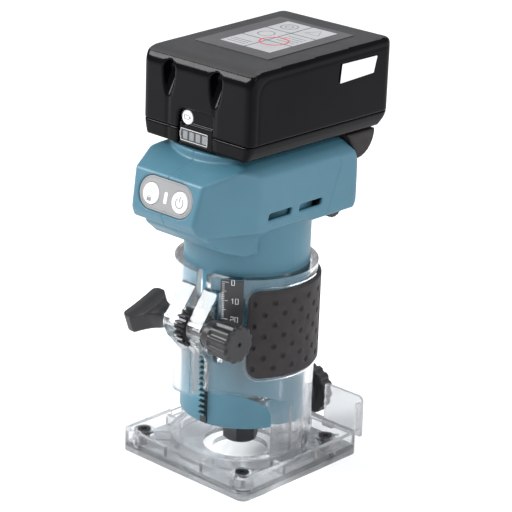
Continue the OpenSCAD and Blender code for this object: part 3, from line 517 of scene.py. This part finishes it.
CAVITY_SIDE = [(-59.9, 149), (-56.9, 165), (-35, 171.8), (-19.4, 175), (35, 175), (41.8, 162.4),
               (42.6, 143), (40.5, 140.6), (11, 140.6), (7, 142.6), (-53, 142.6), (-58.5, 145)]
CAVITY_FRONT = mirrored([(33.7, 120), (33.7, 167.6), (27.8, 172.3), (19.6, 175)])
SKIRT = mirrored([(18, 125), (22.7, 128.5), (29.1, 135.5), (31.4, 143.5)])
CHIN_SIDE = outline([(-54.4, 142), (-52, 136.6), (-43.6, 129.7), (-30, 124.8), (-20, 124.8), (-20, 142)],
                    [0, 2, 2, 2, 0, 0])
CHIN_PLAN = mirrored([(22.5, -55), (27, -24), (27, -18)])
SIDE_PANEL = outline([(-60, 138), (20, 138), (30.5, 165), (27.5, 168.8), (-34, 169.6), (-60, 169.6)],
                     [0, 3, 3, 3, 0, 0])


def head_outside(x, y, z):
    """The head's outside: nose, sides, rim, skirt and chin."""
    rim_z, rim_half_h = 168.8, 8.8
    rim = both(np.maximum(np.hypot(x, y) - RIM_R, y), abs(z - rim_z) - rim_half_h, 0.5)
    body = both(inside_distance(x, y, HEAD_PLAN), either(inside_distance(y, z, HEAD_SIDE), rim, 1.0), 1.4)
    body = both(body, inside_distance(x, z, HEAD_FRONT), 1.2)
    skirt = both(both(np.hypot(x, y) - SKIRT_R, inside_distance(x, z, SKIRT), 0.8), y, 0.5)
    chin = both(inside_distance(y, z, CHIN_SIDE), inside_distance(x, y, CHIN_PLAN), 1.2)
    return either(either(body, skirt, 1.2), chin, 1.2)


def panel_pocket(x, y, z):
    """The stadium-shaped pocket in the nose that the switch panel sits in."""
    straight, radius, depth = 9.8, 8.8, 6
    v = (y - PANEL_Y) * math.sin(PANEL_TILT) + (z - PANEL_Z) * math.cos(PANEL_TILT)
    w = (z - PANEL_Z) * math.sin(PANEL_TILT) - (y - PANEL_Y) * math.cos(PANEL_TILT)
    return np.maximum(np.hypot(np.maximum(abs(x) - straight, 0), v) - radius, -w - depth)


def head_shape(space):
    """Both head shells as one field, hollow and with every pocket cut."""
    x, y, z = space.x, space.y, space.z
    side_x = abs(x)
    recess_floor = 35.75
    recess = np.maximum(inside_distance(y, z, SIDE_PANEL), recess_floor - side_x)
    cavity = np.maximum(inside_distance(x, y, CAVITY_PLAN), inside_distance(y, z, CAVITY_SIDE))
    cavity = np.maximum(cavity, inside_distance(x, z, CAVITY_FRONT))
    shape = np.maximum(without(head_outside(x, y, z), recess, 0.35), -cavity)
    tube_gap, bore_top = 0.02, 160
    bore = np.maximum(np.hypot(x, y) - TUBE_R - tube_gap, z - bore_top)
    shape = without(shape, bore, 0.3)
    shape = without(shape, panel_pocket(x, y, z), 0.5)
    vent_z, vent_lean, vent_length = 147, 0.25, 17
    leaned = y - (z - vent_z) * vent_lean
    for start in (-23.6, -0.6):
        vent = box_field(side_x, leaned, z, (30, start, 145.3), (40, start + vent_length, 148.9), 0.6)
        shape = without(shape, vent, 0.3)
    dial_slot = box_field(x, y, z, (28.2, 22.6, 130), (33.2, 36.4, 145), 0.3)
    shape = without(shape, dial_slot, 0.3)
    lamp_pocket = box_field(side_x, y, z, (10.8, -41.2, 120), (19.2, -36.0, 131.4), 0.2)
    return without(shape, lamp_pocket, 0.3)


def build_head():
    """The two head shells, split at the middle plane."""
    space = Space((-37, -67, 124), (37, 46, 178.5), 0.62)
    shape = head_shape(space)
    split, reach = 0.01, 0.4
    for name, side in (("head_left", -1), ("head_right", 1)):
        half = np.maximum(shape, split - side * space.x)
        verts, faces = skin(space, half)
        at_split = side * verts[:, 0] < reach
        verts[at_split, 0] = side * split
        shell = make(name + "_shell", verts, faces, "motor_unit", TEAL, [name])
        shell.data.set_sharp_from_angle(angle=math.radians(50))


def build_bumper():
    """The rubber buffer under the battery's back, with fine grooves across its curve."""
    curve = [(44.7 + 13.6 * math.sin(t), HEAD_TOP - 14.5 * math.cos(t))
             for t in np.linspace(0.05, math.pi / 2, 8)]
    profile = [(36.8, HEAD_TOP), (44.8, 163.2)] + curve
    space = Space((-35, 36, 162), (35, 61, 178.5), 0.6)
    shape = both(inside_distance(space.y, space.z, profile), abs(space.x) - 34, 1.2)
    groove_half_w, groove_depth, groove_from = 0.7, 0.6, 41
    for place in np.linspace(-26, 26, 14):
        groove = np.maximum(abs(space.x - place) - groove_half_w, groove_from - space.y)
        shape = without(shape, np.maximum(groove, -groove_depth - shape), 0.3)
    verts, faces = skin(space, shape)
    make("bumper_rubber", verts, faces, "motor_unit", RUBBER, ["rear_bumper"])


# ---- switch panel

def build_panel():
    """The grey film panel with its border, its lamp bar and the two buttons."""
    rim = outline(mirrored([(18.3, -8.5), (18.3, 8.5)]), 8.45, 12)
    holes = [circle(side * BUTTON_X, BUTTON_V, 5.75, steps=40) for side in (-1, 1)]
    film = plate_with_holes(rim, holes, -2.6, -0.55)
    panel_piece("panel_film", film, PANEL, "switch_panel", 0.25)
    bar = slab(outline(mirrored([(1.1, -3.6), (1.1, 2.2)]), 0.6), -1.4, -0.35)
    panel_piece("panel_light_bar", bar, WHITE, "panel_lamp", 0.15)
    # painted shade: a thin grey arc stands for the shade in the small notch at the panel's bottom edge; no
    # notch is cut
    notch = ribbon(circle(0.4, -9.0, 1.9, 0.1, math.pi - 0.2, 12), 0.35, -0.6, -0.42)
    printed("panel_notch_shade_line", [notch], on_panel, "motor_unit", GREY_MARK)
    border = ribbon(outline(mirrored([(17.4, -7.6), (17.4, 7.6)]), 7.55, 12), 0.3, -0.6, -0.46, True)
    printed("panel_border", [border], on_panel, "motor_unit", GREY_MARK)
    build_button("power_button_cap", BUTTON_X, "power_switch", "power_button")
    build_button("lock_button_cap", -BUTTON_X, "lock_switch", "lock_button")
    build_icons()


def panel_piece(name, solid, material, node, edge):
    """A flat piece in the panel's plane with its edges rounded, in place of a node."""
    moved = [on_panel(*v) for v in solid[0]]
    piece = make(name, moved, solid[1], "motor_unit", material, [node], smooth=False)
    soften(piece, edge)


def build_icons():
    """Plain power, lamp and lock marks on the two buttons."""
    power = [ribbon(circle(BUTTON_X, -0.9, 2.5, math.radians(125), math.radians(290), 28), 0.55, 0.0, 0.12),
             ribbon([(BUTTON_X, -0.4), (BUTTON_X, 2.4)], 0.55, 0.0, 0.12)]
    printed("power_icon", power, on_panel, "power_switch", GREY_MARK)
    middle = -BUTTON_X
    lamp = [ribbon(circle(middle, 2.1, 1.3, steps=20), 0.35, 0.0, 0.1, True)]
    lamp += [ribbon([(middle + u, -0.1), (middle + u * 1.4, -0.9)], 0.3, 0.0, 0.1) for u in (-1.2, 0, 1.2)]
    printed("lamp_icon", lamp, on_panel, "lock_switch", GREEN_MARK)
    line = ribbon([(-14.2, 0.2), (-5.8, 0.2)], 0.22, 0.0, 0.1)
    shackle = ribbon(circle(-10.6, -2.7, 0.9, 0, math.pi, 12), 0.35, 0.0, 0.1)
    lock = slab(outline(rectangle(-12.1, -4.6, -9.1, -2.7), 0.3), 0.0, 0.1)
    printed("lock_icon", [line, shackle, lock], on_panel, "lock_switch", GREY_MARK)


def build_button(name, u, body, node):
    """A round cap with a soft edge, in the panel's plane."""
    profile = [(-3.2, 5.5), (-0.5, 5.5), (-0.15, 5.35), (0.0, 5.0)]
    profile += [(0.02, radius) for radius in (4.4, 3.3, 2.2, 1.1, 0.05)]
    verts, faces = lathe(profile, 64)
    moved = [on_panel(u + across, BUTTON_V + up, along) for along, across, up in verts]
    make(name, moved, faces, body, WHITE, [node])


def plate_with_holes(rim, holes, low, high):
    """A flat plate with holes, filled by Blender's curve tessellation, as a closed solid."""
    curve = bpy.data.curves.new("plate", "CURVE")
    curve.dimensions = "2D"
    curve.fill_mode = "BOTH"
    curve.extrude = (high - low) / 2
    for loop in [rim] + holes:
        spline = curve.splines.new("POLY")
        spline.points.add(len(loop) - 1)
        spline.points.foreach_set("co", [c for u, v in loop for c in (u, v, 0, 1)])
        spline.use_cyclic_u = True
    holder = bpy.data.objects.new("plate", curve)
    mesh = bpy.data.meshes.new_from_object(holder)
    middle = (high + low) / 2
    verts = [(v.co.x, v.co.y, v.co.z + middle) for v in mesh.vertices]
    faces = [tuple(p.vertices) for p in mesh.polygons]
    bpy.data.objects.remove(holder)
    bpy.data.curves.remove(curve)
    bpy.data.meshes.remove(mesh)
    return verts, faces


# ---- battery

# Outlines of the battery in plan, from the front and from the side, and of the groove on its sides
PACK_PLAN = outline(rectangle(-PACK_X, PACK_Y0, PACK_X, PACK_Y1), 5)
PACK_FRONT = outline([(-34.1, PACK_Z0), (34.1, PACK_Z0), (PACK_X, 187), (PACK_X, PACK_Z1),
                      (-PACK_X, PACK_Z1), (-PACK_X, 187)], [1.5, 1.5, 2, 4, 4, 2])
PACK_SIDE = outline([(PACK_Y0, PACK_Z0), (60, PACK_Z0), (PACK_Y1, 186), (PACK_Y1, PACK_Z1),
                     (PACK_Y0, PACK_Z1)], [1.5, 2, 3, 7, 10])
SIDE_BORDER = outline(rectangle(-35.6, 150, 90, 221.5), [0, 0, 0, 8])
SCOOP_PLACES = (-19.0, 13.2)
BAY = outline(rectangle(-12.0, 170, 12.0, 197.4), [0, 0, 2, 5])


def pack_shape(space):
    """The battery's outside with its scoops, latch bay, grooves and label recess."""
    x, y, z = space.x, space.y, space.z
    lifted = z + pack_drop(y) * np.clip((z - 190) / 30, 0, 1)
    shape = both(inside_distance(x, y, PACK_PLAN), inside_distance(x, lifted, PACK_FRONT), 2.0)
    shape = both(shape, inside_distance(y, lifted, PACK_SIDE), 2.0)
    for place in SCOOP_PLACES:
        scoop = rod_field(x, y, z, (place, -44.6, 198), (place, -39.0, 215), 1.2, 4.6)
        shape = without(shape, scoop, 1.1)
        channel = rod_field(x, y, z, (place, -43.4, 170), (place, -43.1, 200), 1.7, 1.7)
        shape = without(shape, channel, 0.9)
    bay_back = -38.2
    shape = without(shape, np.maximum(inside_distance(x, z, BAY), y - bay_back), 0.6)
    groove_half_w, groove_floor = 0.45, 37.1
    groove = np.maximum(abs(inside_distance(y, lifted, SIDE_BORDER)) - groove_half_w, groove_floor - abs(x))
    shape = without(shape, groove, 0.5)
    recess = box_field(x, y, lifted, (-26, -17, 226.75), (25, 48, 240), 0.2)
    shape = without(shape, recess, 0.2)
    notch_x, notch_half, notch_r = 35.2, 1.2, 0.8
    for edge_y in (-14, 30):
        notch_z = PACK_Z1 - pack_drop(edge_y) + 0.2
        for side in (-1, 1):
            notch = rod_field(x, y, z, (side * notch_x, edge_y - notch_half, notch_z),
                              (side * notch_x, edge_y + notch_half, notch_z), notch_r, notch_r)
            shape = without(shape, notch, 0.2)
    return shape


def pack_hollow(space):
    """Room for the cells, the head's shoe and the latch's travel."""
    x, y, z = space.x, space.y, space.z
    cells = box_field(x, y, z, (-33.6, -33.4, 186.3), (33.6, 60.6, 223.3), 1.0)
    neck = box_field(x, y, z, (-19.8, -15.3, 160), (19.8, 90, 181.0), 0.3)
    flange = box_field(x, y, z, (-23.8, -15.3, 180.7), (23.8, 90, 184.5), 0.3)
    latch = box_field(x, y, z, (-12.3, -40.0, 160), (12.3, -36.4, 201.8), 0.2)
    return np.minimum(np.minimum(cells, neck), np.minimum(flange, latch))


def build_pack():
    """The gloss case below the seam and the cover above it, whose top is satin."""
    space = Space((-38.2, -42.7, 177.5), (38.2, 65.5, 227.8), 0.66)
    shape = np.maximum(pack_shape(space), -pack_hollow(space))
    split = 0.1
    verts, faces = skin(space, np.maximum(shape, space.z - (SEAM_Z - split)))
    make("battery_case_shell", verts, faces, "battery", GLOSS, ["battery_case"])
    verts, faces = skin(space, np.maximum(shape, SEAM_Z + split - space.z))
    cover = make("battery_cover_shell", verts, faces, "battery", GLOSS, ["battery_cover"])
    cover.data.materials.append(SATIN)
    satin_slope, satin_z = 0.72, 219
    for face in cover.data.polygons:
        if face.normal.z > satin_slope and face.center.z > satin_z * MM:
            face.material_index = 1


def build_latch():
    """The latch plate with its gauge, and the round check button."""
    low, high = node_box("latch_button")
    space = Space(low, high, 0.4)
    x, y, z = space.x, space.y, space.z
    plate = box_field(x, y, z, (-12, -39.7, 178.1), (12, -36.7, 197.6), 0.4)
    step = box_field(x, y, z, (-11.7, -40.7, 178.1), (11.7, -38, 190), 0.8)
    shape = either(plate, step, 0.6)
    hole_r, hole_back = 4.0, -37
    hole = np.maximum(np.hypot(x - CHECK_X, z - CHECK_Z) - hole_r, y - hole_back)
    window = box_field(x, y, z, (-11.0, -60, 180.2), (8.0, -40.0, 187.2), 0.3)
    shape = without(without(shape, hole, 0.3), window, 0.2)
    verts, faces = skin(space, shape)
    make("latch_plate", verts, faces, "latch", GLOSS, ["latch_button"])
    profile = [(0.0, 3.86), (1.1, 3.86), (1.35, 3.7), (1.4, 3.4), (1.36, 2.4), (1.33, 1.2), (1.32, 0.05)]
    verts, faces = lathe(profile, 56)
    cap_y = -38.3
    cap = [(CHECK_X + across, cap_y - along, CHECK_Z - up) for along, across, up in verts]
    make("check_button_cap", cap, faces, "gauge_switch", WHITE, ["check_button"])


def on_front(face_y):
    """A function that places (across, up, out) on a face at the battery's front."""
    return lambda u, v, h: (u, face_y - h, v)


def build_gauge():
    """Four charge bars in an outline, and the check button's small battery symbol."""
    window_y, cap_face_y = node_box("gauge_window")[0][1], -39.66
    left, right, bottom, top = -10.4, 7.8, 180.7, 186.7
    margin, bar_start, bar_length, bar_step = 0.9, 1.6, 3.1, 4.4
    bars = []
    for k in range(4):
        start = left + bar_start + bar_step * k
        bar = rectangle(start, bottom + margin, start + bar_length, top - margin)
        bars.append(slab(outline(bar, 0.3), 0.0, 0.14))
    printed("gauge_bars", bars, on_front(window_y), "latch", BAR)
    frame_line = outline([(left, bottom), (right, bottom), (right, top), (left, top), (left, top - 1.6),
                          (left - 0.5, top - 1.9), (left - 0.5, bottom + 1.9), (left, bottom + 1.6)], 0.2, 2)
    line = ribbon(frame_line, 0.24, 0.0, 0.12, True)
    printed("gauge_outline", [line], on_front(window_y), "latch", WHITE)
    cell = ribbon(outline(rectangle(-9.2, 191.6, -5.9, 193.6), 0.3, 3), 0.3, 0.0, 0.1, True)
    tip = slab(rectangle(-5.6, 192.0, -4.9, 193.2), 0.0, 0.1)
    printed("check_icon", [cell, tip], on_front(cap_face_y), "gauge_switch", GREY_MARK)


def on_label(u, v, h):
    """From the label's plane, with u across and v back, to the frame."""
    return (u, v, PACK_Z1 - pack_drop(v) - 0.2 + h)


def build_label():
    """A generic label: pale blocks with plain shapes, and no words."""
    low, high = 0.06, 0.1
    blocks = [slab(outline(rectangle(u0, v0, u1, v1), 0.4), 0.0, low)
              for v0, v1 in ((-7.6, 8.4), (9.2, 26.4), (27.2, 43.6))
              for u0, u1 in ((-16.6, 0.0), (0.8, 17.4))]
    printed("label_blocks", blocks, on_label, "battery", PRINT)
    marks = [ribbon(circle(-8.3, 35.4, 4.6, steps=36), 0.6, low, high, True),
             ribbon(circle(-8.3, 35.4, 2.2, steps=24), 0.5, low, high, True),
             ribbon(circle(9.1, 35.4, 5.2, math.pi / 2, TAU, 3), 0.5, low, high, True),
             ribbon(circle(-8.3, 17.8, 4.4, steps=36), 0.6, low, high, True)]
    marks += [ribbon([(-14.6, v), (-2.4, v)], 0.7, low, high) for v in (-4.6, -2.0, 0.6)]
    marks += [ribbon([(3.0, v), (15.2, v)], 0.7, low, high) for v in (13.0, 16.0, 19.0, 22.0)]
    printed("label_marks", marks, on_label, "battery", INK)
    ring = ribbon(circle(4.4, 9.6, 7.4, steps=48), 0.8, 0.08, 0.14, True)
    printed("label_ring", [ring], on_label, "battery", RED)


def build_stripe():
    """A plain pale parallelogram on each side of the battery."""
    corners = [(23.5, 208.2), (49.5, 209.4), (51.9, 218), (24.6, 218)]
    plates = []
    for side in (-1, 1):
        verts, faces = slab(outline(corners, 0.4, 3), 0.0, 0.12)
        moved = [(side * (PACK_X - 0.04 + h), u, v) for u, v, h in verts]
        plates.append((moved, faces if side > 0 else [tuple(reversed(f)) for f in faces]))
    verts, faces = joined(plates)
    make("side_stripes", verts, faces, "battery", WHITE, smooth=False)


# ---- base

def build_base():
    """Foot and sleeve as one clear moulding, with its edges rounded."""
    pieces = []
    for name in ("base_foot", "base_sleeve"):
        copy = frame["nodes"][name].copy()
        copy.data = copy.data.copy()
        copy.name = "copy_of_" + name
        copy.parent = None
        copy.matrix_world = Matrix.Identity(4)
        bpy.context.scene.collection.objects.link(copy)
        weld = copy.modifiers.new("weld", "WELD")
        weld.merge_threshold = WELD_GAP * MM
        pieces.append(copy)
    union = pieces[0].modifiers.new("union", "BOOLEAN")
    union.operation = "UNION"
    union.solver = "EXACT"
    union.object = pieces[1]
    flatten = pieces[0].modifiers.new("flatten", "DECIMATE")
    flatten.decimate_type = "DISSOLVE"
    flatten.angle_limit = math.radians(0.6)
    graph = bpy.context.evaluated_depsgraph_get()
    mesh = bpy.data.meshes.new_from_object(pieces[0].evaluated_get(graph))
    for copy in pieces:
        bpy.data.objects.remove(copy)
    mesh.name = "base_moulding"
    piece = bpy.data.objects.new("base_moulding", mesh)
    bpy.context.scene.collection.objects.link(piece)
    mesh.materials.clear()
    mesh.materials.append(CLEAR)
    mesh.polygons.foreach_set("use_smooth", [True] * len(mesh.polygons))
    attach(piece, "base")
    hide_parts("base_foot", "base_sleeve")
    soften(piece, 0.45)


def dimple(angle, z):
    """Depth of the grip's staggered dimples at an angle in degrees and a height."""
    column_step, row_step, first_row, margin = 8.2, 11.8, 6, 4
    radius, depth = 1.45, 1.2
    column = round((angle + 90) / column_step)
    centre_angle = column * column_step - 90
    shift = row_step / 2 if column % 2 else 0.0
    row = round((z - GRIP_Z[0] - first_row - shift) / row_step)
    centre_z = GRIP_Z[0] + first_row + shift + row * row_step
    if not GRIP_Z[0] + margin < centre_z < GRIP_Z[1] - margin:
        return 0.0
    across = math.radians(angle - centre_angle) * GRIP_R
    gap = math.hypot(across, z - centre_z)
    return depth * math.sqrt(max(0.0, 1 - (gap / radius) ** 2))


def grip_verts(angles, rows):
    """A column of points outside the band at each angle, then two points behind each column."""
    inner, rim, plain_edge = SLEEVE_R + 0.06, 1.1, 2
    back_r = inner - 0.03
    outside, behind = [], []
    for angle in angles:
        turn = math.radians(angle)
        along = min(angle - GRIP_FIRST, GRIP_LAST - angle) * math.radians(1) * GRIP_R
        cut = GRIP_CORNER - math.sqrt(max(GRIP_CORNER ** 2 - max(GRIP_CORNER - along, 0) ** 2, 0))
        low, high = GRIP_Z[0] + cut, GRIP_Z[1] - cut
        for i in range(rows):
            z = low + (high - low) * (i / (rows - 1))
            edge = min(z - low, high - z, along)
            swell = math.sqrt(max(1 - (1 - min(edge / rim, 1)) ** 2, 0))
            r = inner + (GRIP_R - inner) * swell
            if edge > plain_edge:
                r -= dimple(angle, z)
            outside.append((r * math.cos(turn), r * math.sin(turn), z))
        behind += [(back_r * math.cos(turn), back_r * math.sin(turn), z) for z in (low, high)]
    return outside + behind


def build_grip():
    """The rubber band: rounded front ends, a soft rim and staggered dimples."""
    count, rows = 420, 96
    verts = grip_verts(np.linspace(GRIP_FIRST, GRIP_LAST, count), rows)
    faces = [(c * rows + r, (c + 1) * rows + r, (c + 1) * rows + r + 1, c * rows + r + 1)
             for c in range(count - 1) for r in range(rows - 1)]
    behind = count * rows
    for c in range(count - 1):
        a, b = behind + 2 * c, behind + 2 * (c + 1)
        faces.append((a + 1, b + 1, b, a))
        faces.append((a, b, (c + 1) * rows, c * rows))
        faces.append((c * rows + rows - 1, (c + 1) * rows + rows - 1, b + 1, a + 1))
    faces.append((behind + 1, behind, *range(rows)))
    end = behind + 2 * count
    faces.append((end - 2, end - 1, *reversed(range(behind - rows, behind))))
    make("grip_band", verts, faces, "base", RUBBER, ["grip_sleeve"])


def build_grip_lip():
    """The raised line of the sleeve round the grip's front end."""
    gap, reach = 1.3, 46.0
    corner = GRIP_CORNER + gap
    low, high = GRIP_Z[0] - gap, GRIP_Z[1] + gap
    path = [(reach, low)] + circle(corner - gap, low + corner, corner, 1.5 * math.pi, -math.pi / 2, 10)
    path += circle(corner - gap, high - corner, corner, math.pi, -math.pi / 2, 10) + [(reach, high)]
    verts, faces = ribbon(refine(path, 1.5), 0.8, -0.02, 0.5)
    degrees = 180 / math.pi / SLEEVE_R
    moved = [on_sleeve(GRIP_FIRST + u * degrees, v, h) for u, v, h in verts]
    make("grip_lip", moved, [tuple(reversed(f)) for f in faces], "base", CLEAR, smooth=False)


def digit_strokes(digit, u, v, size):
    """Plain strokes for a digit in a box one size wide and two sizes high."""
    shapes = {
        "0": [(0, 0), (1, 0), (1, 2), (0, 2), (0, 0)],
        "1": [(0.2, 1.6), (0.6, 2), (0.6, 0)],
        "2": [(0, 2), (1, 2), (1, 1), (0, 1), (0, 0), (1, 0)],
    }
    return [(u + a * size, v + b * size) for a, b in shapes[digit]]


def build_scale():
    """White ticks every millimetre and plain numbers every ten, wrapped on the sleeve."""
    per_degree = math.radians(1) * SLEEVE_R
    solids = []
    left, top = -66.0, 110.4
    low, high = 0.5, 0.56
    for k in range(23):
        v = top - k
        tick = 3.4 if k % 10 == 0 else 2.4 if k % 5 == 0 else 1.4
        solids.append(ribbon([(0, v), (tick, v)], 0.16, low, high))
    for k, text in ((0, "0"), (10, "1"), (20, "2")):
        for place, digit in enumerate(text + ("0" if k else "")):
            strokes = digit_strokes(digit, 5.0 + place * 2.2, top - k - 1.4, 1.4)
            solids.append(ribbon(strokes, 0.3, low, high))
    printed("scale_marks", solids, lambda u, v, h: on_sleeve(left + u / per_degree, v, h),
            "base", WHITE)


def flutes(count, depth, share, start):
    """Round grooves along a knob from a place on its axis."""
    def cut(angle, along):
        turn = (angle * count / TAU) % 1
        gap = min(turn, 1 - turn) / share
        return depth * max(0.0, 1 - gap ** 2) * min(max(along - start, 0.0), 1.0)
    return cut


def build_knobs():
    """The fluted depth knob on the right and the thumb knob at the back."""
    low, high = node_box("depth_knob")
    length = high[0] - low[0]
    profile = outline([(0, 5.1), (0, 7.2), (4.6, 7.6), (6.0, 9.6), (length, 10.4), (length, 1.5),
                       (length - 0.8, 1.2), (length - 0.8, 0.05)], [0, 0.8, 0.5, 1.0, 1.6, 0.3, 0.2, 0], 5)
    verts, faces = lathe(refine(profile, 1.2), 240, flutes(12, 0.9, 0.36, 6.4))
    moved = [(low[0] + a, SHAFT_Y + b, SHAFT_Z + c) for a, b, c in verts]
    make("depth_knob_grip", moved, faces, "depth_adjuster", BLACK,
         ["depth_knob", "clamp_nut"])
    low, high = node_box("guide_knob")
    profile = outline([(0, 3.1), (0, 8), (2, 8), (2, 14), (10, 14), (10, 9), (11.5, 9), (11.5, 0.05)],
                      [0, 0.6, 0, 1.2, 1.4, 0, 0.6, 0], 5)
    verts, faces = lathe(refine(profile, 1.2), 240, flutes(15, 1.0, 0.3, 2.2))
    middle_z = (low[2] + high[2]) / 2
    moved = [(-b, low[1] + a, middle_z + c) for a, b, c in verts]
    make("guide_knob_grip", moved, faces, "guide_clamp", BLACK, ["guide_knob"])


def refine(points, longest):
    """An open run of points with its long stretches divided."""
    fine = [points[0]]
    for a, b in zip(points, points[1:]):
        parts = max(1, math.ceil(math.dist(a, b) / longest))
        fine += [(a[0] + (b[0] - a[0]) * i / parts, a[1] + (b[1] - a[1]) * i / parts)
                 for i in range(1, parts + 1)]
    return fine


def build_lever():
    """The clamp's thumb lever: a round hub that flares into a paddle with a dished face."""
    hub_x, hub_r = -10.5, 5.2
    tilt = math.radians(20)
    space = Space((-34.5, -60, 70), (-9, -28, 100), 0.4)
    y, z = space.y - SHAFT_Y, space.z - SHAFT_Z
    across = y * math.cos(tilt) + z * math.sin(tilt)
    up = z * math.cos(tilt) - y * math.sin(tilt)
    out = hub_x - space.x
    neck = both(np.hypot(across, up) - hub_r, abs(out - 6) - 6, 0.8)
    growth = np.clip((out - 3) / 14, 0, 1) ** 1.6
    flare = both(abs(across) - hub_r - 8.2 * growth, abs(out - 13) - 9.9, 3.6)
    flare = both(flare, abs(up) - 5.0 - 1.6 * growth, 2.0)
    shape = either(neck, flare, 2.5)
    dish_out, dish_up, dish_r, narrowing = 17.5, 19, 15.6, 0.3
    dish = np.sqrt((out - dish_out) ** 2 + (up - dish_up) ** 2 + (across * narrowing) ** 2) - dish_r
    shape = without(shape, dish, 0.35)
    verts, faces = skin(space, shape)
    make("clamp_lever_blade", verts, faces, "base_clamp", BLACK, ["clamp_lever"])


# ---- floor, light and camera

def build_stage():
    """A plain pale floor, three soft lamps and an even sky."""
    floor_material, tree, shader, coordinates = start_material("floor")
    tint(tree, shader, noise(tree, coordinates, 2.0), (0.93, 0.93, 0.93), (0.95, 0.95, 0.95))
    shader.inputs["Roughness"].default_value = 0.9
    shader.inputs["Specular IOR Level"].default_value = 0.1
    size, gap = 6.0, 0.0002
    mesh = bpy.data.meshes.new("floor")
    mesh.from_pydata([(x, y, 0) for x, y in rectangle(-size, -size, size, size)], [], [(0, 1, 2, 3)])
    mesh.materials.append(floor_material)
    floor = bpy.data.objects.new("floor", mesh)
    floor.location.z = -gap
    bpy.context.scene.collection.objects.link(floor)
    area_lamp("front_softbox", (-1.0, -0.92, 0.98), 0.62, 27)
    area_lamp("top_softbox", (0.1, 0.35, 1.5), 1.2, 17)
    area_lamp("right_softbox", (1.5, 0.1, 0.7), 0.7, 7)
    world = bpy.data.worlds.new("studio")
    world.use_nodes = True
    background = world.node_tree.nodes["Background"]
    background.inputs["Color"].default_value = (0.93, 0.96, 1.0, 1)
    background.inputs["Strength"].default_value = 0.55
    bpy.context.scene.world = world


def area_lamp(name, place, size, power):
    """A square soft lamp that faces the middle of the tool."""
    lamp = bpy.data.lights.new(name, "AREA")
    lamp.size = size
    lamp.energy = power
    holder = bpy.data.objects.new(name, lamp)
    holder.location = place
    aim = Vector((0, 0, 0.11)) - Vector(place)
    holder.rotation_euler = aim.to_track_quat("-Z", "Y").to_euler()
    bpy.context.scene.collection.objects.link(holder)


def build_camera():
    """The view that the tool is shown from: right of the front, a little above."""
    azimuth, elevation, roll = math.radians(42.16), math.radians(20.1), math.radians(2.17)
    target, distance = Vector((0.03212, -0.02833, 0.12713)), 1.07314
    back = Vector((math.sin(azimuth) * math.cos(elevation), -math.cos(azimuth) * math.cos(elevation),
                   math.sin(elevation)))
    right = Vector((math.cos(azimuth), math.sin(azimuth), 0))
    up = back.cross(right)
    turned_right = right * math.cos(roll) + up * math.sin(roll)
    turned_up = up * math.cos(roll) - right * math.sin(roll)
    lens = bpy.data.cameras.new("camera")
    lens.lens = 151.0
    lens.sensor_width = 36.0
    camera = bpy.data.objects.new("camera", lens)
    axes = Matrix((turned_right, turned_up, back)).transposed().to_4x4()
    camera.matrix_world = Matrix.Translation(target + back * distance) @ axes
    bpy.context.scene.collection.objects.link(camera)
    bpy.context.scene.camera = camera


# ---- assembly

paint_nodes()
build_base()
build_grip()
build_grip_lip()
build_scale()
build_knobs()
build_lever()
build_head()
build_bumper()
build_panel()
build_pack()
build_latch()
build_gauge()
build_label()
build_stripe()
for node_name, edge in (("sub_base", 0.4), ("chip_deflector", 0.35), ("collet_nut", 0.35),
                        ("base_screws", 0.15), ("battery_shoe", 0.3), ("speed_dial", 0.2),
                        ("work_lamps", 0.3)):
    soften(frame["nodes"][node_name], edge)
build_stage()
build_camera()
bpy.context.scene.view_settings.view_transform = "Standard"
